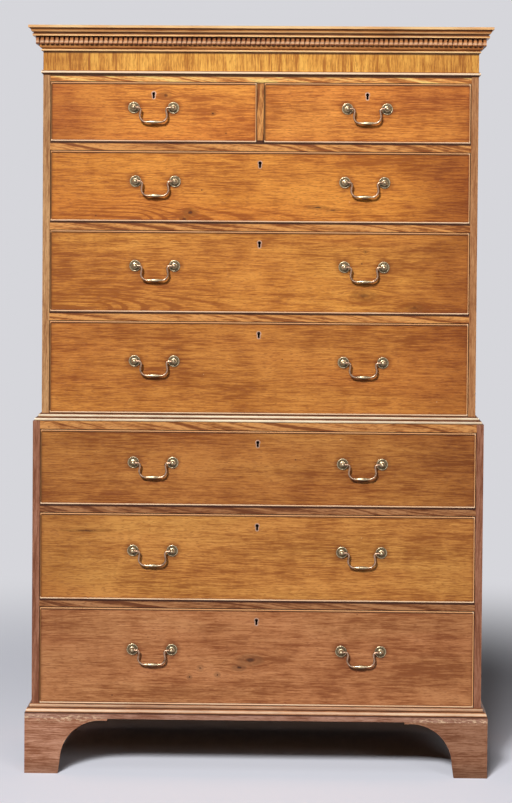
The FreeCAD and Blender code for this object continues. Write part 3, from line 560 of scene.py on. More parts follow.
WOOD_BUMP, WOOD_DEPTH, DRY_DEPTH, WOOD_SHINE = 0.35, 0.0004, 0.0008, 0.2
POLISH_DRIFT, PORE_DULLING = 0.22, 0.25     # how much roughness varies with the polish and the pores
BRASS_BUMP, BRASS_DEPTH = 0.2, 0.0002
KNOT_HALO, HALO_TONE = 0.6, 0.45            # a knot's ring: its strength beside the heart's, and its tone
BEAD_SIDE, FLANK = 0.0006, (0.012, 0.006)   # painted shade on the sides of a front: before its face, and how far behind it
RAIL_DARK, RAIL_LIGHT = (0.44, 0.32, 0.24), (1.36, 1.58, 1.85)
UNDER_FRIEZE = (0.0035, 0.0015)             # painted shade lines of the rails, with dirt: under the frieze
UNDER_DRAWER = (0.0062, 0.0040)             # below each drawer
OVER_DRAWER = (0.0032, 0.0012)              # above each drawer
UNDER_CORNICE = (0.0065, 0.0030)            # painted shade lines of the frieze: under the cornice
FRIEZE_FOOT = (0.0065, 0.0045)              # along its lower edge
# Astragal: painted shade on its body, and a painted highlight on its crest, with wear.
ASTRAGAL, ASTRAGAL_LIT_AND_WORN = (0.0004, 0.0010), (0.0035, 0.0049)
TOOTH_GAP = (0.0015, 0.003)                 # painted shadow in the gaps, behind the faces of the teeth
SPECK_SEED = 9.3                            # of the pale specks on the feet
NAIL_HEAD, NAIL_RUST = (0.0042, 0.0034), (0.014, 0.003)
NAIL_PLACE = 0.27                           # nails from the middle of a back board, as a share of its width
HALF_TOP, HALF_UPPER_BOTTOM, HALF_LOWER_BOTTOM = 0.008, 0.0095, 0.009   # of the boards they go into
GRIP_SIDE, GRIP_DROP = (0.024, 0.010), (-0.024, -0.031)     # from a bail's middle, and below its pivot


class Finish:
    """A new material with its shader, and the object coordinates and normal that its nodes start from."""

    def __init__(self, name):
        self.material = bpy.data.materials.new(name)
        self.material.use_nodes = True
        tree = self.material.node_tree
        self.shader = tree.nodes["Principled BSDF"]
        coordinates = Wires(tree, tree.nodes.new("ShaderNodeTexCoord").outputs)
        self.vector, self.normal = coordinates.object, coordinates.normal

    def marks(self, seed):
        """Marks of age on it."""
        return age_marks(self.vector, seed=seed)

    def dust(self):
        """Dust on it."""
        return settled_dust(self.vector, normal=self.normal).dust

    def done(self, height, strength, depth, values):
        """The material, with a bump from a height and with its shader fed."""
        bump = put(height.tree, "ShaderNodeBump",
                   {"Strength": strength, "Distance": depth, "Height": height}, 0)
        feed(self.shader, {"Normal": bump, **values})
        return self.material

    def polished(self, colour, wood, marks, rough=0.30, depth=WOOD_DEPTH, coat=0.10, coat_rough=0.22):
        """The material of a wood polished by hand: its gloss drifts slowly and is duller in the open
        pores."""
        rough = marks.polish * POLISH_DRIFT + rough + wood.gloss * PORE_DULLING
        return self.done(wood.height, WOOD_BUMP, depth, {
            "Base Color": colour, "Roughness": rough, "Specular IOR Level": WOOD_SHINE, "Coat Weight": coat,
            "Coat Roughness": coat_rough})

    def dry(self, colour, wood, marks, rough):
        """The material of a wood that was never polished."""
        return self.polished(colour, wood, marks, rough, DRY_DEPTH, coat=0.0)


def shades(base, dark=(0.58, 0.45, 0.36), light=(1.28, 1.42, 1.58)):
    """Dark, middle and light of a wood from its mean colour."""
    return {"dark": scaled(base, dark), "middle": scaled(base),
            "light": tuple(min(0.95, b * d) for b, d in zip(base, light)) + (1.0,)}


def stain(colour, mask, strength, tone, mode="MIX"):
    """A colour with another over it, where a mask lies and at part of the mask's strength."""
    return blend(mask * strength, colour, tone, mode)


def aged(colour, marks, base, spots=0.6, nicks=0.5):
    """A wood's colour with dark spots and pale nicks."""
    return stain(stain(colour, marks.spots, spots, scaled(base, 0.3)), marks.nicks, nicks, scaled(base, 1.8))


def sideways(normal):
    """Mask of faces that look up, down or to the side rather than to the front or back."""
    return span(abs(parts(normal)[1]), 0.70, 0.30)


def figure_of(grain, base, surface, figure):
    """The wood figure with a wood's colours and values."""
    streaks = figure["streaks"] * surface.grain
    return wood_figure(grain, **{**shades(base), **figure, "streaks": streaks})


def bail_joints(name):
    """Joints of the bails on a drawer, each at the middle of its handle."""
    return [joint for joint in frame["joints"]
            if joint["type"] == "hinge" and joint["parent"] == name + "_drawer"]


def face_of(name):
    """Plane of a drawer's face, behind the front of its beads."""
    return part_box(name + "_drawer_front")[0].y + BEAD_PROUD


def drawer_wood(name, base, bead, rubbed, surface):
    """Polished front: figured board with knots, ends painted darker as shade, dirt with painted shadow along
    the beads and round the handles, painted shade on the sides in the gaps, and beads painted pale as a
    highlight, unevenly worn."""
    finish = Finish(name + "_drawer_wood")
    vector, figure = finish.vector, DRAWER_LOOKS[name]
    low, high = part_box(name + "_drawer_front")
    grain, knots = vector, []
    for x, z, radius, stretch, strength in DRAWER_KNOTS.get(name, []):
        knot = board_knot(vector, middle=(x, 0.0, z), radius=radius, stretch=stretch)
        grain = grain + joined(0.0, 0.0, knot.pull)
        knots.append((knot, strength))
    wood, marks = figure_of(grain, base, surface, figure), finish.marks(figure["seed"])
    edges = panel_edges(vector, low=low, high=high)
    drift = cloud(vector + (figure["seed"], 0.0, 0.0), (2.2, 11.0, 11.0))
    colour = blend(1.0, wood.color, blend(span(drift, 0.36, 0.64), REDDER, GOLDEN), "MULTIPLY")
    for knot, strength in knots:
        colour = stain(colour, knot.ring, strength * KNOT_HALO, scaled(base, HALO_TONE))
        colour = stain(colour, knot.heart, strength, DARK_HEART)
    # Painted shade on the ends of the front.
    for end, strength in zip((edges.left, edges.right), DRAWER_ENDS[name]):
        colour = stain(colour, end, strength, END_SHADE, "MULTIPLY")
    # Dirt round the roses and wear under the bail, with the handle's shadow painted in.
    for joint in bail_joints(name):
        dirt = handle_grime_and_shadow(vector, middle=joint["pos_m"])
        colour = stain(colour, dirt.grime, surface.dirt, ROSE_DIRT_AND_SHADOW, "MULTIPLY")
        colour = stain(colour, dirt.rub, 0.5, BAIL_WEAR_AND_SHADOW, "MULTIPLY")
    colour = stain(colour, edges.border, surface.dirt, BORDER_DIRT, "MULTIPLY")
    # Painted shadow under the top bead and painted shade along the inside of the others, with dirt.
    colour = stain(colour, edges.line, 0.75, SHADE_AND_GRIME)
    colour = stain(colour, marks.spots, 0.75, DARK_HEART)
    colour = stain(colour, marks.nicks, 0.5, PALE_NICK)
    face, depth = face_of(name), parts(vector)[1]
    proud = span(depth, face - BEAD_PROUD * 0.05, face - BEAD_PROUD * 0.25)
    # Painted highlight on the lit beads, the bottom one most, broken by wear; unlit beads are painted darker
    # as shade.
    rub = span(marks.polish, 0.36, 0.56, 0.8 - surface.wear * 0.6, 0.8) * edges.lit ** 2.0
    warm = blend(clamped(edges.lit * 2.0), scaled(bead, 0.4), scaled(bead))
    colour = blend(proud, colour, blend(rub, warm, scaled(rubbed)))
    # Painted shade on the sides of the front and its beads in the gaps round the drawer.
    sunk = sideways(finish.normal) * span(depth, face - BEAD_SIDE, face)
    flank = most(sunk, edges.rim) * span(depth - face, *FLANK)
    return finish.polished(stain(colour, flank, 0.8, SHADE_AND_GRIME), wood, marks)


def side_wood(name, base, surface, seed):
    """Polished side of a case, with its grain upright."""
    finish = Finish(name)
    figure = look(seed=seed, pith=(0.0, 0.1, 0.3), taper=0.04, spacing=0.012, rings=1.0, mottle=0.3)
    wood, marks = figure_of(turned(finish.vector, GRAIN_Z), base, surface, figure), finish.marks(seed)
    return finish.polished(aged(wood.color, marks, base), wood, marks)


def rail_wood(top, upper, lower, surface):
    """Rails with their grain along X, palest at the top and browner in the lower case, and the partition with
    its grain upright. Lines of painted shade, with dirt, run along the frieze and above and below each
    drawer, and faces that look up, down or to the side are painted dark as shade."""
    finish = Finish("rail_wood")
    vector = finish.vector
    x, _, z = parts(vector)
    low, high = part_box("short_left_drawer_front")
    upright = (z > low.z) * (z < high.z) * (abs(x) < -high.x)
    grain = pick_vector(upright, vector, turned(vector, GRAIN_Z))
    below, over = span(z, WAIST_LEVEL + 0.03, WAIST_LEVEL - 0.10), z > high.z
    pale, warm, brown = (shades(base, RAIL_DARK, RAIL_LIGHT) for base in (top, upper, lower))
    tones = {key: blend(over, blend(below, warm[key], brown[key]), pale[key]) for key in warm}
    figure = look(seed=1.9, pith=(0.0, 0.0, -0.5), taper=0.17, spacing=0.012, rings=4.2, wave=0.05)
    wood, marks = figure_of(grain, upper, surface, {**figure, **tones}), finish.marks(figure["seed"])
    boxes = [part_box(name + "_drawer_front") for name in DRAWERS[1:]]
    frieze_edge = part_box("frieze_board")[0].z
    shaded = most(span(frieze_edge - z, *UNDER_FRIEZE),
                  span(nearest(z, [box[0].z for box in boxes]), *UNDER_DRAWER))
    upper_edge = span(nearest(z, [box[1].z for box in boxes]), *OVER_DRAWER)
    # Painted shade along the rails' edges next to the frieze and the drawers, with dirt, and on faces that
    # look up, down or to the side.
    colour = stain(aged(wood.color, marks, lower), upper_edge * 0.6 + shaded, 0.95, SHADE_AND_GRIME)
    return finish.polished(stain(colour, sideways(finish.normal), 0.8, SHADE_AND_GRIME), wood, marks)


def frieze_wood(base, moulding, rubbed, surface):
    """Crossbanded frieze, its grain upright, over an astragal with its grain along its length, painted dark
    as shade with a pale painted highlight on its crest. Lines of painted shade run under the cornice and
    along the lower edge, and the ends are painted darker as shade."""
    finish = Finish("frieze_wood")
    vector = finish.vector
    low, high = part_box("frieze_board")
    run = moulded_run(vector, half=UPPER_HALF, front=UPPER_FRONT)
    across = look(seed=1.1, pith=(0.0, 0.0, 0.8), taper=0.05, spacing=0.016, rings=1.5, wave=0.004)
    band = figure_of(turned(vector, GRAIN_Z), base, surface, across)
    bead = figure_of(vector, moulding, surface, look(seed=3.7))
    marks = finish.marks(across["seed"])
    edges = panel_edges(vector, low=low, high=high, broad=0.3)
    colour = band.color
    # Painted shade on the ends of the frieze.
    for end in (edges.left, edges.right):
        colour = stain(colour, end, 0.5, END_SHADE, "MULTIPLY")
    # The astragal is painted dark as shade, with a pale painted highlight on its crest.
    colour = blend(span(run.proud, *ASTRAGAL), colour, blend(0.6, bead.color, SHADE_AND_GRIME))
    colour = blend(span(run.proud, *ASTRAGAL_LIT_AND_WORN), colour, scaled(rubbed))
    # Painted shade under the cornice and along the lower edge.
    up, cornice_edge = parts(vector)[2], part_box("cornice_mouldings")[0].z
    shaded = most(span(cornice_edge - up, *UNDER_CORNICE), span(up - low.z, *FRIEZE_FOOT))
    return finish.polished(stain(aged(colour, marks, base), shaded, 0.85, SHADE_AND_GRIME), band, marks)


def profile_tone(share, rows):
    """Masks of the pale edges, a painted highlight with wear, and the dark hollows, painted shade with dirt,
    of a moulding, from rows of a share of its height and a tone there: 1 is pale, 0 is dark and 0.5 is plain,
    with straight lines between the rows."""
    ramp = put(share.tree, "ShaderNodeValToRGB", {0: share}, 0)
    elements = ramp.socket.node.color_ramp.elements
    elements[0].position, elements[1].position = rows[0][0], rows[-1][0]
    for place, _ in rows[1:-1]:
        elements.new(place)
    for place, tone in rows:
        closest = min(elements, key=lambda element: abs(element.position - place))
        closest.color = (tone, tone, tone, 1.0)
    doubled = parts(ramp)[0] * 2.0
    return clamped(doubled - 1.0), clamped(1.0 - doubled)


def run_wood(name, node, base, pale, surface, seed, rows, half=UPPER_HALF, front=UPPER_FRONT, skirt=None,
             toothed=False):
    """Moulding round three sides: grain along each length, painted shade with dirt in the hollows, painted
    shadow at the top of the gaps between teeth, pale edges painted as highlights with wear, and where it has
    a skirt, the flat face under the curves in another wood."""
    finish = Finish(name)
    vector = finish.vector
    low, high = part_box(node)
    run = moulded_run(vector, half=half, front=front)
    grain = pick_vector(run.returns, vector, turned(vector, GRAIN_Y))
    share = (parts(vector)[2] - low.z) / (high.z - low.z)
    tones = shades(base)
    if skirt:
        above, plain = span(share, SKIRT_SHARE, SKIRT_SHARE + 0.02), shades(skirt)
        tones = {key: blend(above, plain[key], tones[key]) for key in tones}
    wood = figure_of(grain, base, surface, {**look(seed=seed), **tones})
    marks, dust = finish.marks(seed), finish.dust()
    # Pale rows are painted highlights with wear, dark rows painted shade with dirt.
    rubbed, shade_and_dirt = profile_tone(share, rows)
    uneven = span(marks.polish, 0.30, 0.58, 0.55, 1.0)
    colour = blend(rubbed * uneven, aged(wood.color, marks, base), scaled(pale))
    # Painted shadow at the top of the gaps between the teeth.
    if toothed:
        sunk = span(high.x - half - run.proud, *TOOTH_GAP)
        shade_and_dirt = most(shade_and_dirt, sunk * span(share, 0.2, 0.7, 0.1, 1.0))
    colour = stain(colour, shade_and_dirt, 0.9, SHADE_AND_GRIME)
    if skirt:
        colour = stain(colour, edge_chips(vector, level=low.z).chips, 0.8, PALE_NICK)
    return finish.polished(stain(colour, dust, 0.25, DUST), wood, marks, dust * 0.2 + 0.22, coat=0.12,
                           coat_rough=0.18)


def foot_wood(base, surface):
    """Bracket feet: grain along each bracket, painted darker to the right as shade and scuffed towards the
    floor, with pale chips."""
    finish = Finish("foot_wood")
    vector = finish.vector
    x, _, z = parts(vector)
    low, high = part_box("bracket_feet")
    run = moulded_run(vector, half=high.x, front=low.y)
    grain = pick_vector(run.returns, vector, turned(vector, GRAIN_Y))
    figure = look(seed=5.1, pith=(0.0, 0.1, -0.3), taper=0.03, spacing=0.012, rings=0.8, streaks=1.0)
    wood = figure_of(grain, base, surface, figure)
    marks, specks = finish.marks(figure["seed"]), finish.marks(SPECK_SEED)
    scuff = span(z, 0.05, 0.0) * marks.polish
    colour = stain(wood.color, scuff, surface.dirt * 1.6, scaled(base, 0.35))
    # Painted shade, darker towards the right.
    colour = aged(blend(span(x, -0.2, 0.4), colour, RIGHT_FOOT_SHADE, "MULTIPLY"), marks, base)
    chips = edge_chips(vector, level=high.z).chips * span(x, 0.2, 0.3, 1.0, 0.25)
    colour = stain(colour, most(most(specks.nicks, specks.spots), chips), 0.6, PALE_NICK)
    return finish.polished(colour, wood, marks, 0.34)


def lining_wood(name, base, surface, figure):
    """Dry unpolished wood of drawer linings: grain from front to back on sides and bottom, across on the
    back."""
    finish = Finish(name)
    faces_front = abs(parts(finish.normal)[1]) > 0.7
    grain = pick_vector(faces_front, turned(finish.vector, GRAIN_Y), finish.vector)
    wood, marks = figure_of(grain, base, surface, figure), finish.marks(figure["seed"])
    colour = aged(wood.color, marks, base, 0.35, 0.25)
    colour = stain(colour, finish.dust(), 0.25, scaled(base, (0.6, 0.55, 0.5)))
    return finish.dry(colour, wood, marks, 0.52)


def pine_wood(name, base, surface, turn, nail_rows):
    """Dry pine boards with wide rings, dark with age and dusty on top, nailed in rows where they are fixed,
    with two nails to a board in each row."""
    finish = Finish(name)
    figure = look(seed=8.0, pith=(0.0, 0.45, 0.13), spacing=0.008, rings=1.6, streaks=0.5, wave=0.02,
                  mottle=0.2, pores=0.15)
    wood, marks = figure_of(turned(finish.vector, turn), base, surface, figure), finish.marks(figure["seed"])
    colour = aged(wood.color, marks, base, 0.5, 0.3)
    colour = stain(colour, span(marks.polish, 0.5, 0.75), 0.45, scaled(base, 0.45))
    colour = stain(colour, finish.dust(), 0.5, DUST)
    if nail_rows:
        low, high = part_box("back_boards")
        x, _, z = parts(finish.vector)
        pitch = (high.x - low.x) / BACK_BOARDS
        beside = (abs(step("FRACT", (x - low.x) / pitch) - 0.5) - NAIL_PLACE) * pitch
        far = length(joined(beside, 0.0, nearest(z, nail_rows)))
        colour = stain(colour, span(far, *NAIL_RUST), 0.5, RUST)
        colour = blend(span(far, *NAIL_HEAD), colour, IRON)
    return finish.dry(colour, wood, marks, 0.58)


def brass_metal(name, base, surface, face, pivot=None, worn=None):
    """Old brass of the fittings on drawers whose faces lie in one plane, or of a bail, brown on its bow and
    worn pale on the grip, which lies across the middle under the pivot."""
    finish = Finish(name)
    tone = scaled(base)
    if pivot:
        x, _, z = parts(finish.vector - tuple(pivot))
        tone = blend(span(abs(x), *GRIP_SIDE) * span(z, *GRIP_DROP), tone, scaled(worn))
    brass = brass_tarnish(finish.vector, normal=finish.normal, brass=tone, tarnish=surface.tarnish, face=face)
    return finish.done(brass.height, BRASS_BUMP, BRASS_DEPTH, {
        "Base Color": brass.color, "Roughness": brass.roughness, "Metallic": 1.0})


# Rows of tone up each moulding: pale rows are painted highlights with wear, dark rows painted shade with
# dirt.
CORNICE_TONES = [(0.0, 0.7), (0.015, 1.0), (0.06, 1.0), (0.08, 0.3), (0.10, 0.1), (0.125, 0.35),
                 (0.16, 0.55), (0.20, 0.5), (0.235, 0.15), (0.27, 0.15), (0.30, 0.6), (0.42, 0.5),
                 (0.52, 0.35), (0.575, 0.1), (0.587, 0.6), (0.60, 1.0), (0.625, 1.0), (0.645, 0.3),
                 (0.677, 0.0), (0.715, 0.0), (0.735, 0.4), (0.755, 0.85), (0.785, 0.8), (0.81, 0.3),
                 (0.84, 0.1), (0.875, 0.1), (0.895, 0.6), (0.915, 0.95), (0.96, 0.95), (1.0, 0.9)]
DENTIL_TONES = [(0.0, 0.05), (0.10, 0.15), (0.18, 0.6), (0.28, 0.8), (0.45, 0.6), (0.7, 0.35), (0.96, 0.1),
                (1.0, 0.1)]
WAIST_TONES = [(0.0, 0.1), (0.04, 0.5), (0.09, 1.0), (0.24, 1.0), (0.33, 0.9), (0.385, 0.3), (0.41, 0.0),
               (0.48, 0.0), (0.525, 0.7), (0.57, 1.0), (0.78, 1.0), (0.85, 0.5), (0.89, 0.0), (0.95, 0.1),
               (1.0, 0.1)]
BASE_TONES = [(0.0, 0.45), (0.30, 0.5), (0.345, 0.2), (0.37, 0.0), (0.43, 0.05), (0.47, 0.55),
              (0.51, 0.85), (0.62, 0.85), (0.67, 0.5), (0.72, 0.05), (0.76, 0.0), (0.79, 0.5),
              (0.82, 0.85), (0.90, 0.9), (0.95, 0.5), (1.0, 0.1)]

LOOK = {"seed": 0.0, "pith": (0.0, 0.05, -0.6), "taper": 0.015, "apex": 0.0, "apex_length": 0.06,
        "spacing": 0.010, "rings": 0.5, "streaks": 0.8, "wave": 0.006, "mottle": 1.2, "pores": 0.6}


def look(**changes):
    """Values of a board's figure, with what differs from the usual ones."""
    return {**LOOK, **changes}


DRAWER_LOOKS = {
    "short_left": look(seed=1.3, pith=(0.0, 0.05, 1.20), taper=0.02),
    "short_right": look(seed=2.9, pith=(0.3, 0.06, 1.30), taper=-0.02),
    "upper_second": look(seed=4.1, pith=(-0.31, -0.228, 1.380), taper=0.02, apex=0.55, apex_length=0.12,
                         spacing=0.008),
    "upper_third": look(seed=5.7, pith=(-0.40, -0.228, 1.160), taper=0.02, apex=0.55, apex_length=0.10,
                        spacing=0.008),
    "upper_fourth": look(seed=7.2, pith=(0.2, 0.0, 0.70), taper=0.025),
    "lower_first": look(seed=8.6, pith=(0.0, 0.0, 0.40), taper=0.012),
    "lower_second": look(seed=9.9, pith=(0.2, 0.0, 0.15), taper=0.03),
    "lower_third": look(seed=11.4, pith=(0.1, 0.0, -0.20), taper=0.02),
}

# How dark the painted shade is at the left and right end of each front
DRAWER_ENDS = {
    "short_left": (0.85, 0.0), "short_right": (0.10, 0.55), "upper_second": (0.35, 0.95),
    "upper_third": (0.28, 0.85), "upper_fourth": (0.05, 0.55), "lower_first": (0.12, 0.55),
    "lower_second": (0.60, 0.20), "lower_third": (0.22, 0.22),
}

# X, Z, radius, stretch along the grain and strength of each knot
DRAWER_KNOTS = {
    "short_left": [(-0.235, 1.690, 0.0055, 1.3, 0.7), (-0.118, 1.646, 0.0028, 1.2, 0.9)],
    "upper_second": [(-0.172, 1.400, 0.0055, 1.5, 0.8), (-0.187, 1.384, 0.004, 1.4, 0.8),
                     (0.143, 1.414, 0.0024, 6.0, 0.9), (0.182, 1.408, 0.0018, 6.0, 0.8)],
    "upper_third": [(0.263, 1.305, 0.0022, 1.3, 0.8), (0.262, 1.196, 0.007, 2.4, 0.55),
                    (0.385, 1.166, 0.006, 2.0, 0.5)],
    "lower_second": [(-0.425, 0.606, 0.0022, 16.0, 0.8)],
    "lower_third": [(-0.014, 0.287, 0.0075, 2.2, 0.8), (-0.042, 0.267, 0.0042, 2.2, 0.9),
                    (-0.097, 0.249, 0.0034, 1.3, 0.9), (-0.139, 0.265, 0.0044, 1.0, 0.7),
                    (-0.166, 0.242, 0.0032, 1.1, 0.9)],
}


def dress(node, material):
    """Gives a piece of the chest its material."""
    NODES[node].data.materials[0] = material


class CHEST_OT_drawer_fronts(bpy.types.Operator):
    """Give each drawer front its own figured mahogany"""
    bl_idname = "chest.drawer_fronts"
    bl_label = "Drawer fronts"

    def execute(self, context):
        colours, surface = context.scene.chest_colours, context.scene.chest_surface
        for name in DRAWERS:
            wood = drawer_wood(name, getattr(colours, name), colours.bead, colours.rubbed, surface)
            dress(name + "_drawer_front", wood)
        return {"FINISHED"}


class CHEST_OT_case_wood(bpy.types.Operator):
    """Finish the sides, rails, frieze, mouldings and feet"""
    bl_idname = "chest.case_wood"
    bl_label = "Case, mouldings and feet"

    def execute(self, context):
        colours, surface = context.scene.chest_colours, context.scene.chest_surface
        dress("upper_left_side", side_wood("upper_left_wood", colours.upper_left, surface, 3.3))
        dress("upper_right_side", side_wood("upper_right_wood", colours.upper_right, surface, 4.5))
        lower_side = side_wood("lower_side_wood", colours.lower_case, surface, 6.1)
        dress("lower_left_side", lower_side)
        dress("lower_right_side", lower_side)
        dress("drawer_rails", rail_wood(colours.top_rail, colours.upper_rails, colours.lower_rails, surface))
        dress("frieze_board", frieze_wood(colours.frieze, colours.moulding, colours.rubbed, surface))
        lower = {"half": LOWER_HALF, "front": LOWER_FRONT, "skirt": colours.skirt}
        for name, node, base, pale, seed, rows, more in (
                ("cornice_wood", "cornice_mouldings", colours.moulding, colours.cornice, 2.2,
                 CORNICE_TONES, {}),
                ("dentil_wood", "dentil_strips", colours.dentils, colours.rubbed, 6.6, DENTIL_TONES,
                 {"toothed": True}),
                ("waist_wood", "waist_moulding", colours.waist, colours.polished, 2.7, WAIST_TONES, {}),
                ("base_wood", "base_moulding", colours.waist, colours.rubbed, 4.4, BASE_TONES, lower)):
            dress(node, run_wood(name, node, base, pale, surface, seed, rows, **more))
        dress("bracket_feet", foot_wood(colours.feet, surface))
        return {"FINISHED"}


class CHEST_OT_linings(bpy.types.Operator):
    """Finish the oak drawer linings and runners and the pine boards"""
    bl_idname = "chest.linings"
    bl_label = "Linings and boards"

    def execute(self, context):
        colours, surface = context.scene.chest_colours, context.scene.chest_surface
        figure = look(seed=1.0, pith=(0.0, 0.3, -0.4), taper=0.02, spacing=0.009, rings=1.1, streaks=0.9,
                      pores=0.7)
        oak = lining_wood("oak_lining", colours.oak, surface, figure)
        for name in [drawer + "_drawer_box" for drawer in DRAWERS] + ["drawer_runners"]:
            dress(name, oak)
        rows = (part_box("case_boards")[1].z - HALF_TOP, WAIST_LEVEL + HALF_UPPER_BOTTOM,
                WAIST_LEVEL - HALF_TOP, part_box("base_moulding")[1].z - HALF_LOWER_BOTTOM)
        dress("back_boards", pine_wood("back_pine", colours.pine, surface, GRAIN_Z, rows))
        dress("case_boards", pine_wood("board_pine", colours.pine, surface, GRAIN_X, ()))
        return {"FINISHED"}


class CHEST_OT_brasses(bpy.types.Operator):
    """Finish the handles, keyhole linings, locks and bolts"""
    bl_idname = "chest.brasses"
    bl_label = "Brasses"

    def execute(self, context):
        colours, surface = context.scene.chest_colours, context.scene.chest_surface
        bolt = brass_metal("bolt_brass", colours.brass, surface, NO_FACE)
        for case, drawers in (("upper", DRAWERS[:UPPER_DRAWERS]), ("lower", DRAWERS[UPPER_DRAWERS:])):
            face = face_of(drawers[0])
            metal = brass_metal(case + "_brass", colours.brass, surface, face)
            for drawer in drawers:
                dress(drawer + "_drawer_fittings", metal)
                dress(drawer + "_lock_bolt", bolt)
                for joint in bail_joints(drawer):
                    bail = joint["child"]
                    dress(bail, brass_metal(bail + "_brass", colours.bail, surface, face, joint["pos_m"],
                                            colours.brass))
        return {"FINISHED"}


# Screws

SCREW_TURNS = np.array([0.2, 1.3, 2.1, 2.8])    # slots of a lock's four screws
TURN_BY_DRAWER = 0.9                            # further turn from one drawer to the next
SLOT_WALL, SLOT_CLEAR = 1.05, 1.2               # top of the slot's walls, and the next row outside them


def screw_head(radius, rim, rise, slot_depth, slot_share, steps):
    """Screw head along Y: a square grid drawn into a disc, with a crown that falls with the square of the
    radius and a slot across the middle rows. The second layer is the flat seat under it, sunk by the rim's
    height."""
    edge = np.linspace(-1.0, 1.0, steps + 1)
    wall = slot_share * SLOT_WALL
    slot = [-wall, -slot_share, 0.0, slot_share, wall]
    u = np.sort(np.concatenate([edge[np.abs(edge) > slot_share * SLOT_CLEAR], slot]))
    u, v = np.meshgrid(u, edge, indexing="ij")
    x = u * np.sqrt(1.0 - v * v / 2.0)
    z = v * np.sqrt(1.0 - u * u / 2.0)
    crown = rim + rise * (1.0 - np.minimum(1.0, x * x + z * z))
    cut = np.where(np.abs(u) <= slot_share, slot_depth, 0.0)
    head = np.stack([x * radius, crown - cut, z * radius], axis=-1)
    seat = np.stack([x * radius, np.full_like(x, -rim), z * radius], axis=-1)
    return np.stack([head, seat])


def closed_layers(layers):
    """Points and faces of a solid between two grids: the quads of both, the second turned over, and a wall
    between their borders."""
    rows, columns = layers.shape[1:3]
    index = np.arange(rows * columns).reshape(rows, columns)
    quads = np.stack([index[:-1, :-1], index[:-1, 1:], index[1:, 1:], index[1:, :-1]], axis=-1).reshape(-1, 4)
    border = np.concatenate([index[:-1, 0], index[-1, :-1], index[1:, -1][::-1], index[0, 1:][::-1]])
    ahead = np.roll(border, -1)
    under = rows * columns
    wall = np.stack([border, ahead, ahead + under, border + under], axis=-1)
    return layers.reshape(-1, 3), np.concatenate([quads, quads[:, ::-1] + under, wall])


def copies(points, faces, places, turns):
    """A solid repeated at several places, each copy turned about Y by its own angle."""
    cos, sin = np.cos(turns)[:, None], np.sin(turns)[:, None]
    x, y, z = points.T
    level = np.broadcast_to(y, (len(turns), y.size))
    moved = np.stack([x * cos + z * sin, level, z * cos - x * sin], axis=-1) + places[:, None, :]
    steps = np.arange(len(turns))[:, None, None] * len(points)
    return moved.reshape(-1, 3), (faces[None] + steps).reshape(-1, 4)


def new_piece(name, points, faces, material):
    """Object at the origin from points and faces, with one material."""
    mesh = bpy.data.meshes.new(name)
    mesh.from_pydata(points.tolist(), [], faces.tolist())
    mesh.materials.append(material)
    made = bpy.data.objects.new(name, mesh)
    bpy.context.scene.collection.objects.link(made)
    return made


class CHEST_OT_lock_screws(bpy.types.Operator):
    """Put four slotted screws in the plate of every lock"""
    bl_idname = "chest.lock_screws"
    bl_label = "Lock screws"

    def execute(self, context):
        sizes = context.scene.chest_screws
        head = closed_layers(screw_head(sizes.radius, sizes.rim, sizes.rise, sizes.slot_depth,
                                        sizes.slot_share, sizes.steps))
        for number, name in enumerate(DRAWERS):
            low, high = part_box(name + "_drawer_front")
            across = (low.x + high.x) / 2 + sizes.spread * np.array([-1.0, 1.0, -1.0, 1.0])
            levels = high.z - np.array([sizes.margin, sizes.margin, sizes.drop, sizes.drop])
            places = np.stack([across, np.full(4, high.y), levels], axis=-1)
            points, faces = copies(*head, places, TURN_BY_DRAWER * number + SCREW_TURNS)
            screws = new_piece(name + "_lock_screws", points, faces,
                               NODES[name + "_drawer_fittings"].data.materials[0])
            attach(screws, name + "_drawer")
        return {"FINISHED"}


# Stage

CHEST_MIDDLE = (0.0, -0.25, 0.9)
SENSOR_MM, VIEW_DEPTH = 36.0, 100.0
# Place, what the lamp looks at, the side of its square and the setting of its power
LAMPS = {
    "key_lamp": ((-4.6, -17.5, 11.0), CHEST_MIDDLE, 2.8, "key_power"),
    "fill_lamp": ((3.6, -7.6, 4.2), CHEST_MIDDLE, 2.4, "fill_power"),
    "top_lamp": ((0.0, -3.2, 5.2), (0.0, -1.2, 0.0), 2.0, "top_power"),
    "floor_lamp": ((-2.4, -17.5, 10.6), (0.0, -0.6, 0.0), 2.8, "floor_power"),
    "left_lamp": ((-4.5, 1.8, 2.6), CHEST_MIDDLE, 2.0, "side_power"),
    "right_lamp": ((4.5, 1.8, 2.6), CHEST_MIDDLE, 2.0, "side_power"),
}


def square(half):
    """Level square about the origin: its corners at plus or minus half its side, in one face that looks
    up."""
    return half * np.array([(1, -1, 0), (1, 1, 0), (-1, 1, 0), (-1, -1, 0)]), np.array([[0, 1, 2, 3]])


def aim_lamp(name, place, target, size, power):
    """Soft square lamp that looks at a point."""
    lamp = bpy.data.lights.new(name, "AREA")
    lamp.shape = "SQUARE"
    lamp.size = size
    lamp.energy = power
    made = bpy.data.objects.new(name, lamp)
    made.location = place
    made.rotation_mode = "QUATERNION"
    made.rotation_quaternion = (Vector(target) - Vector(place)).to_track_quat("-Z", "Y")
    bpy.context.scene.collection.objects.link(made)
    return made


def light_only(lamp, name, pieces):
    """Lets a lamp light some pieces and nothing else, though all of them still cast shadows."""
    chosen = bpy.data.collections.new(name)
    for piece in pieces:
        chosen.objects.link(piece)
    lamp.light_linking.receiver_collection = chosen


def directly_seen(tree, mirrored=1.0):
    """1 for what the camera sees, a share of that in metal or glass, and 0 for light that falls on a
    surface."""
    path = Wires(tree, tree.nodes.new("ShaderNodeLightPath").outputs)
    return most(path.is_camera_ray, most(path.is_glossy_ray, path.is_transmission_ray) * mirrored)


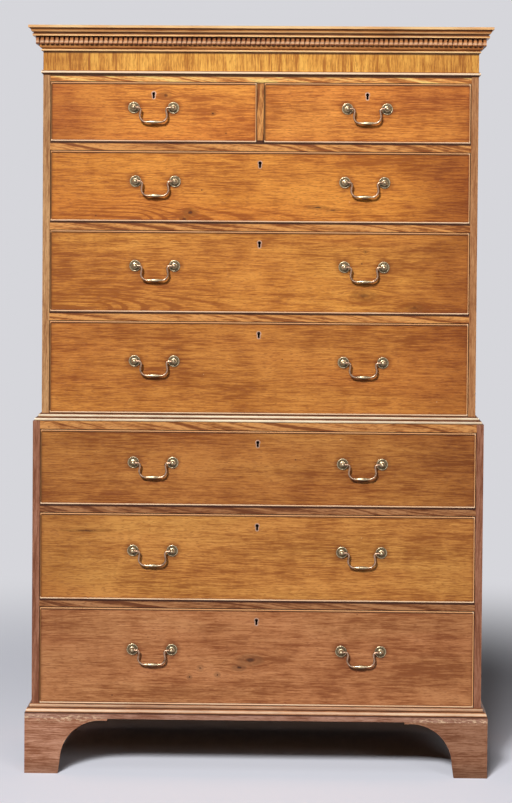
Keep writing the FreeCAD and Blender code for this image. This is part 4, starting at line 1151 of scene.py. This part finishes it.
def stage_material(studio):
    """Pale floor that fades, with the distance from the chest, into the colour of the backdrop. It is paler
    where it is seen than in the light it throws back, and its far part shines only where it is seen."""
    finish = Finish("pale_floor")
    seen = directly_seen(finish.vector.tree)
    far = span(length(finish.vector), studio.fade_start, studio.fade_end)
    pale = studio.floor_colour
    floor = blend(cloud(finish.vector, 1.5, 4.0), scaled(pale, 0.97), scaled(pale))
    floor = blend(seen, scaled(pale, studio.floor_bounce), floor)
    feed(finish.shader, {"Base Color": blend(far, floor, BLACK), "Roughness": 0.8, "Specular IOR Level": 0.0,
                         "Emission Color": blend(far * seen, BLACK, scaled(studio.backdrop_colour)),
                         "Emission Strength": 1.0})
    return finish.material


class CHEST_OT_studio(bpy.types.Operator):
    """Set up the pale floor, the lamps and the camera"""
    bl_idname = "chest.studio"
    bl_label = "Studio"

    def execute(self, context):
        scene = context.scene
        studio = scene.chest_studio
        floor = new_piece("studio_floor", *square(studio.floor_half), stage_material(studio))

        lamps = {name: aim_lamp(name, place, target, size, getattr(studio, power))
                 for name, (place, target, size, power) in LAMPS.items()}
        light_only(lamps["floor_lamp"], "lit_floor", [floor])
        pieces = [piece for piece in scene.objects if piece.type == "MESH" and piece != floor]
        for name in ("left_lamp", "right_lamp"):
            light_only(lamps[name], name + "_pieces", pieces)

        scene.world = bpy.data.worlds.new("studio_world")
        scene.world.use_nodes = True
        tree = scene.world.node_tree
        strength = most(directly_seen(tree, studio.mirrored), studio.ambient)
        feed(tree.nodes["Background"], {"Color": scaled(studio.backdrop_colour), "Strength": strength})

        lens = bpy.data.cameras.new("studio_camera")
        lens.sensor_width = SENSOR_MM
        lens.lens = studio.focal_pixels * SENSOR_MM / FRAME_PIXELS
        lens.shift_x = -studio.shift_pixels[0] / FRAME_PIXELS
        lens.shift_y = studio.shift_pixels[1] / FRAME_PIXELS
        lens.clip_end = VIEW_DEPTH
        camera = bpy.data.objects.new("studio_camera", lens)
        upright = Matrix.Rotation(math.pi / 2 + studio.pitch, 4, "X") @ Matrix.Rotation(studio.roll, 4, "Z")
        turned_right = Matrix.Rotation(-studio.yaw, 4, "Z") @ upright
        camera.matrix_world = Matrix.Translation(studio.camera_place) @ turned_right
        scene.collection.objects.link(camera)
        scene.camera = camera
        scene.view_settings.view_transform = "Standard"
        return {"FINISHED"}


OPERATORS = (CHEST_OT_drawer_fronts, CHEST_OT_case_wood, CHEST_OT_linings, CHEST_OT_brasses,
             CHEST_OT_lock_screws, CHEST_OT_studio)


class CHEST_PT_panel(bpy.types.Panel):
    """Settings and steps of the chest"""
    bl_idname = "CHEST_PT_panel"
    bl_label = "Chest on chest"
    bl_space_type = "VIEW_3D"
    bl_region_type = "UI"
    bl_category = "Chest"

    def draw(self, context):
        for settings in SETTINGS:
            box = self.layout.box()
            group = getattr(context.scene, settings)
            for key in group.__annotations__:
                box.prop(group, key)
        for operator in OPERATORS:
            self.layout.operator(operator.bl_idname)


SETTINGS = {"chest_colours": ChestColours, "chest_surface": ChestSurface, "chest_screws": ChestScrews,
            "chest_studio": ChestStudio}


def register():
    """Makes the settings, operators and panel known."""
    for kind in (*SETTINGS.values(), *OPERATORS, CHEST_PT_panel):
        bpy.utils.register_class(kind)
    for name, kind in SETTINGS.items():
        setattr(bpy.types.Scene, name, PointerProperty(type=kind))


def unregister():
    """Takes them away again."""
    for name in SETTINGS:
        delattr(bpy.types.Scene, name)
    for kind in (CHEST_PT_panel, *OPERATORS[::-1], *SETTINGS.values()):
        bpy.utils.unregister_class(kind)


def main():
    """Runs every step in order."""
    register()
    bpy.ops.chest.drawer_fronts()
    bpy.ops.chest.case_wood()
    bpy.ops.chest.linings()
    bpy.ops.chest.brasses()
    bpy.ops.chest.lock_screws()
    bpy.ops.chest.studio()


if __name__ == "__main__":
    main()
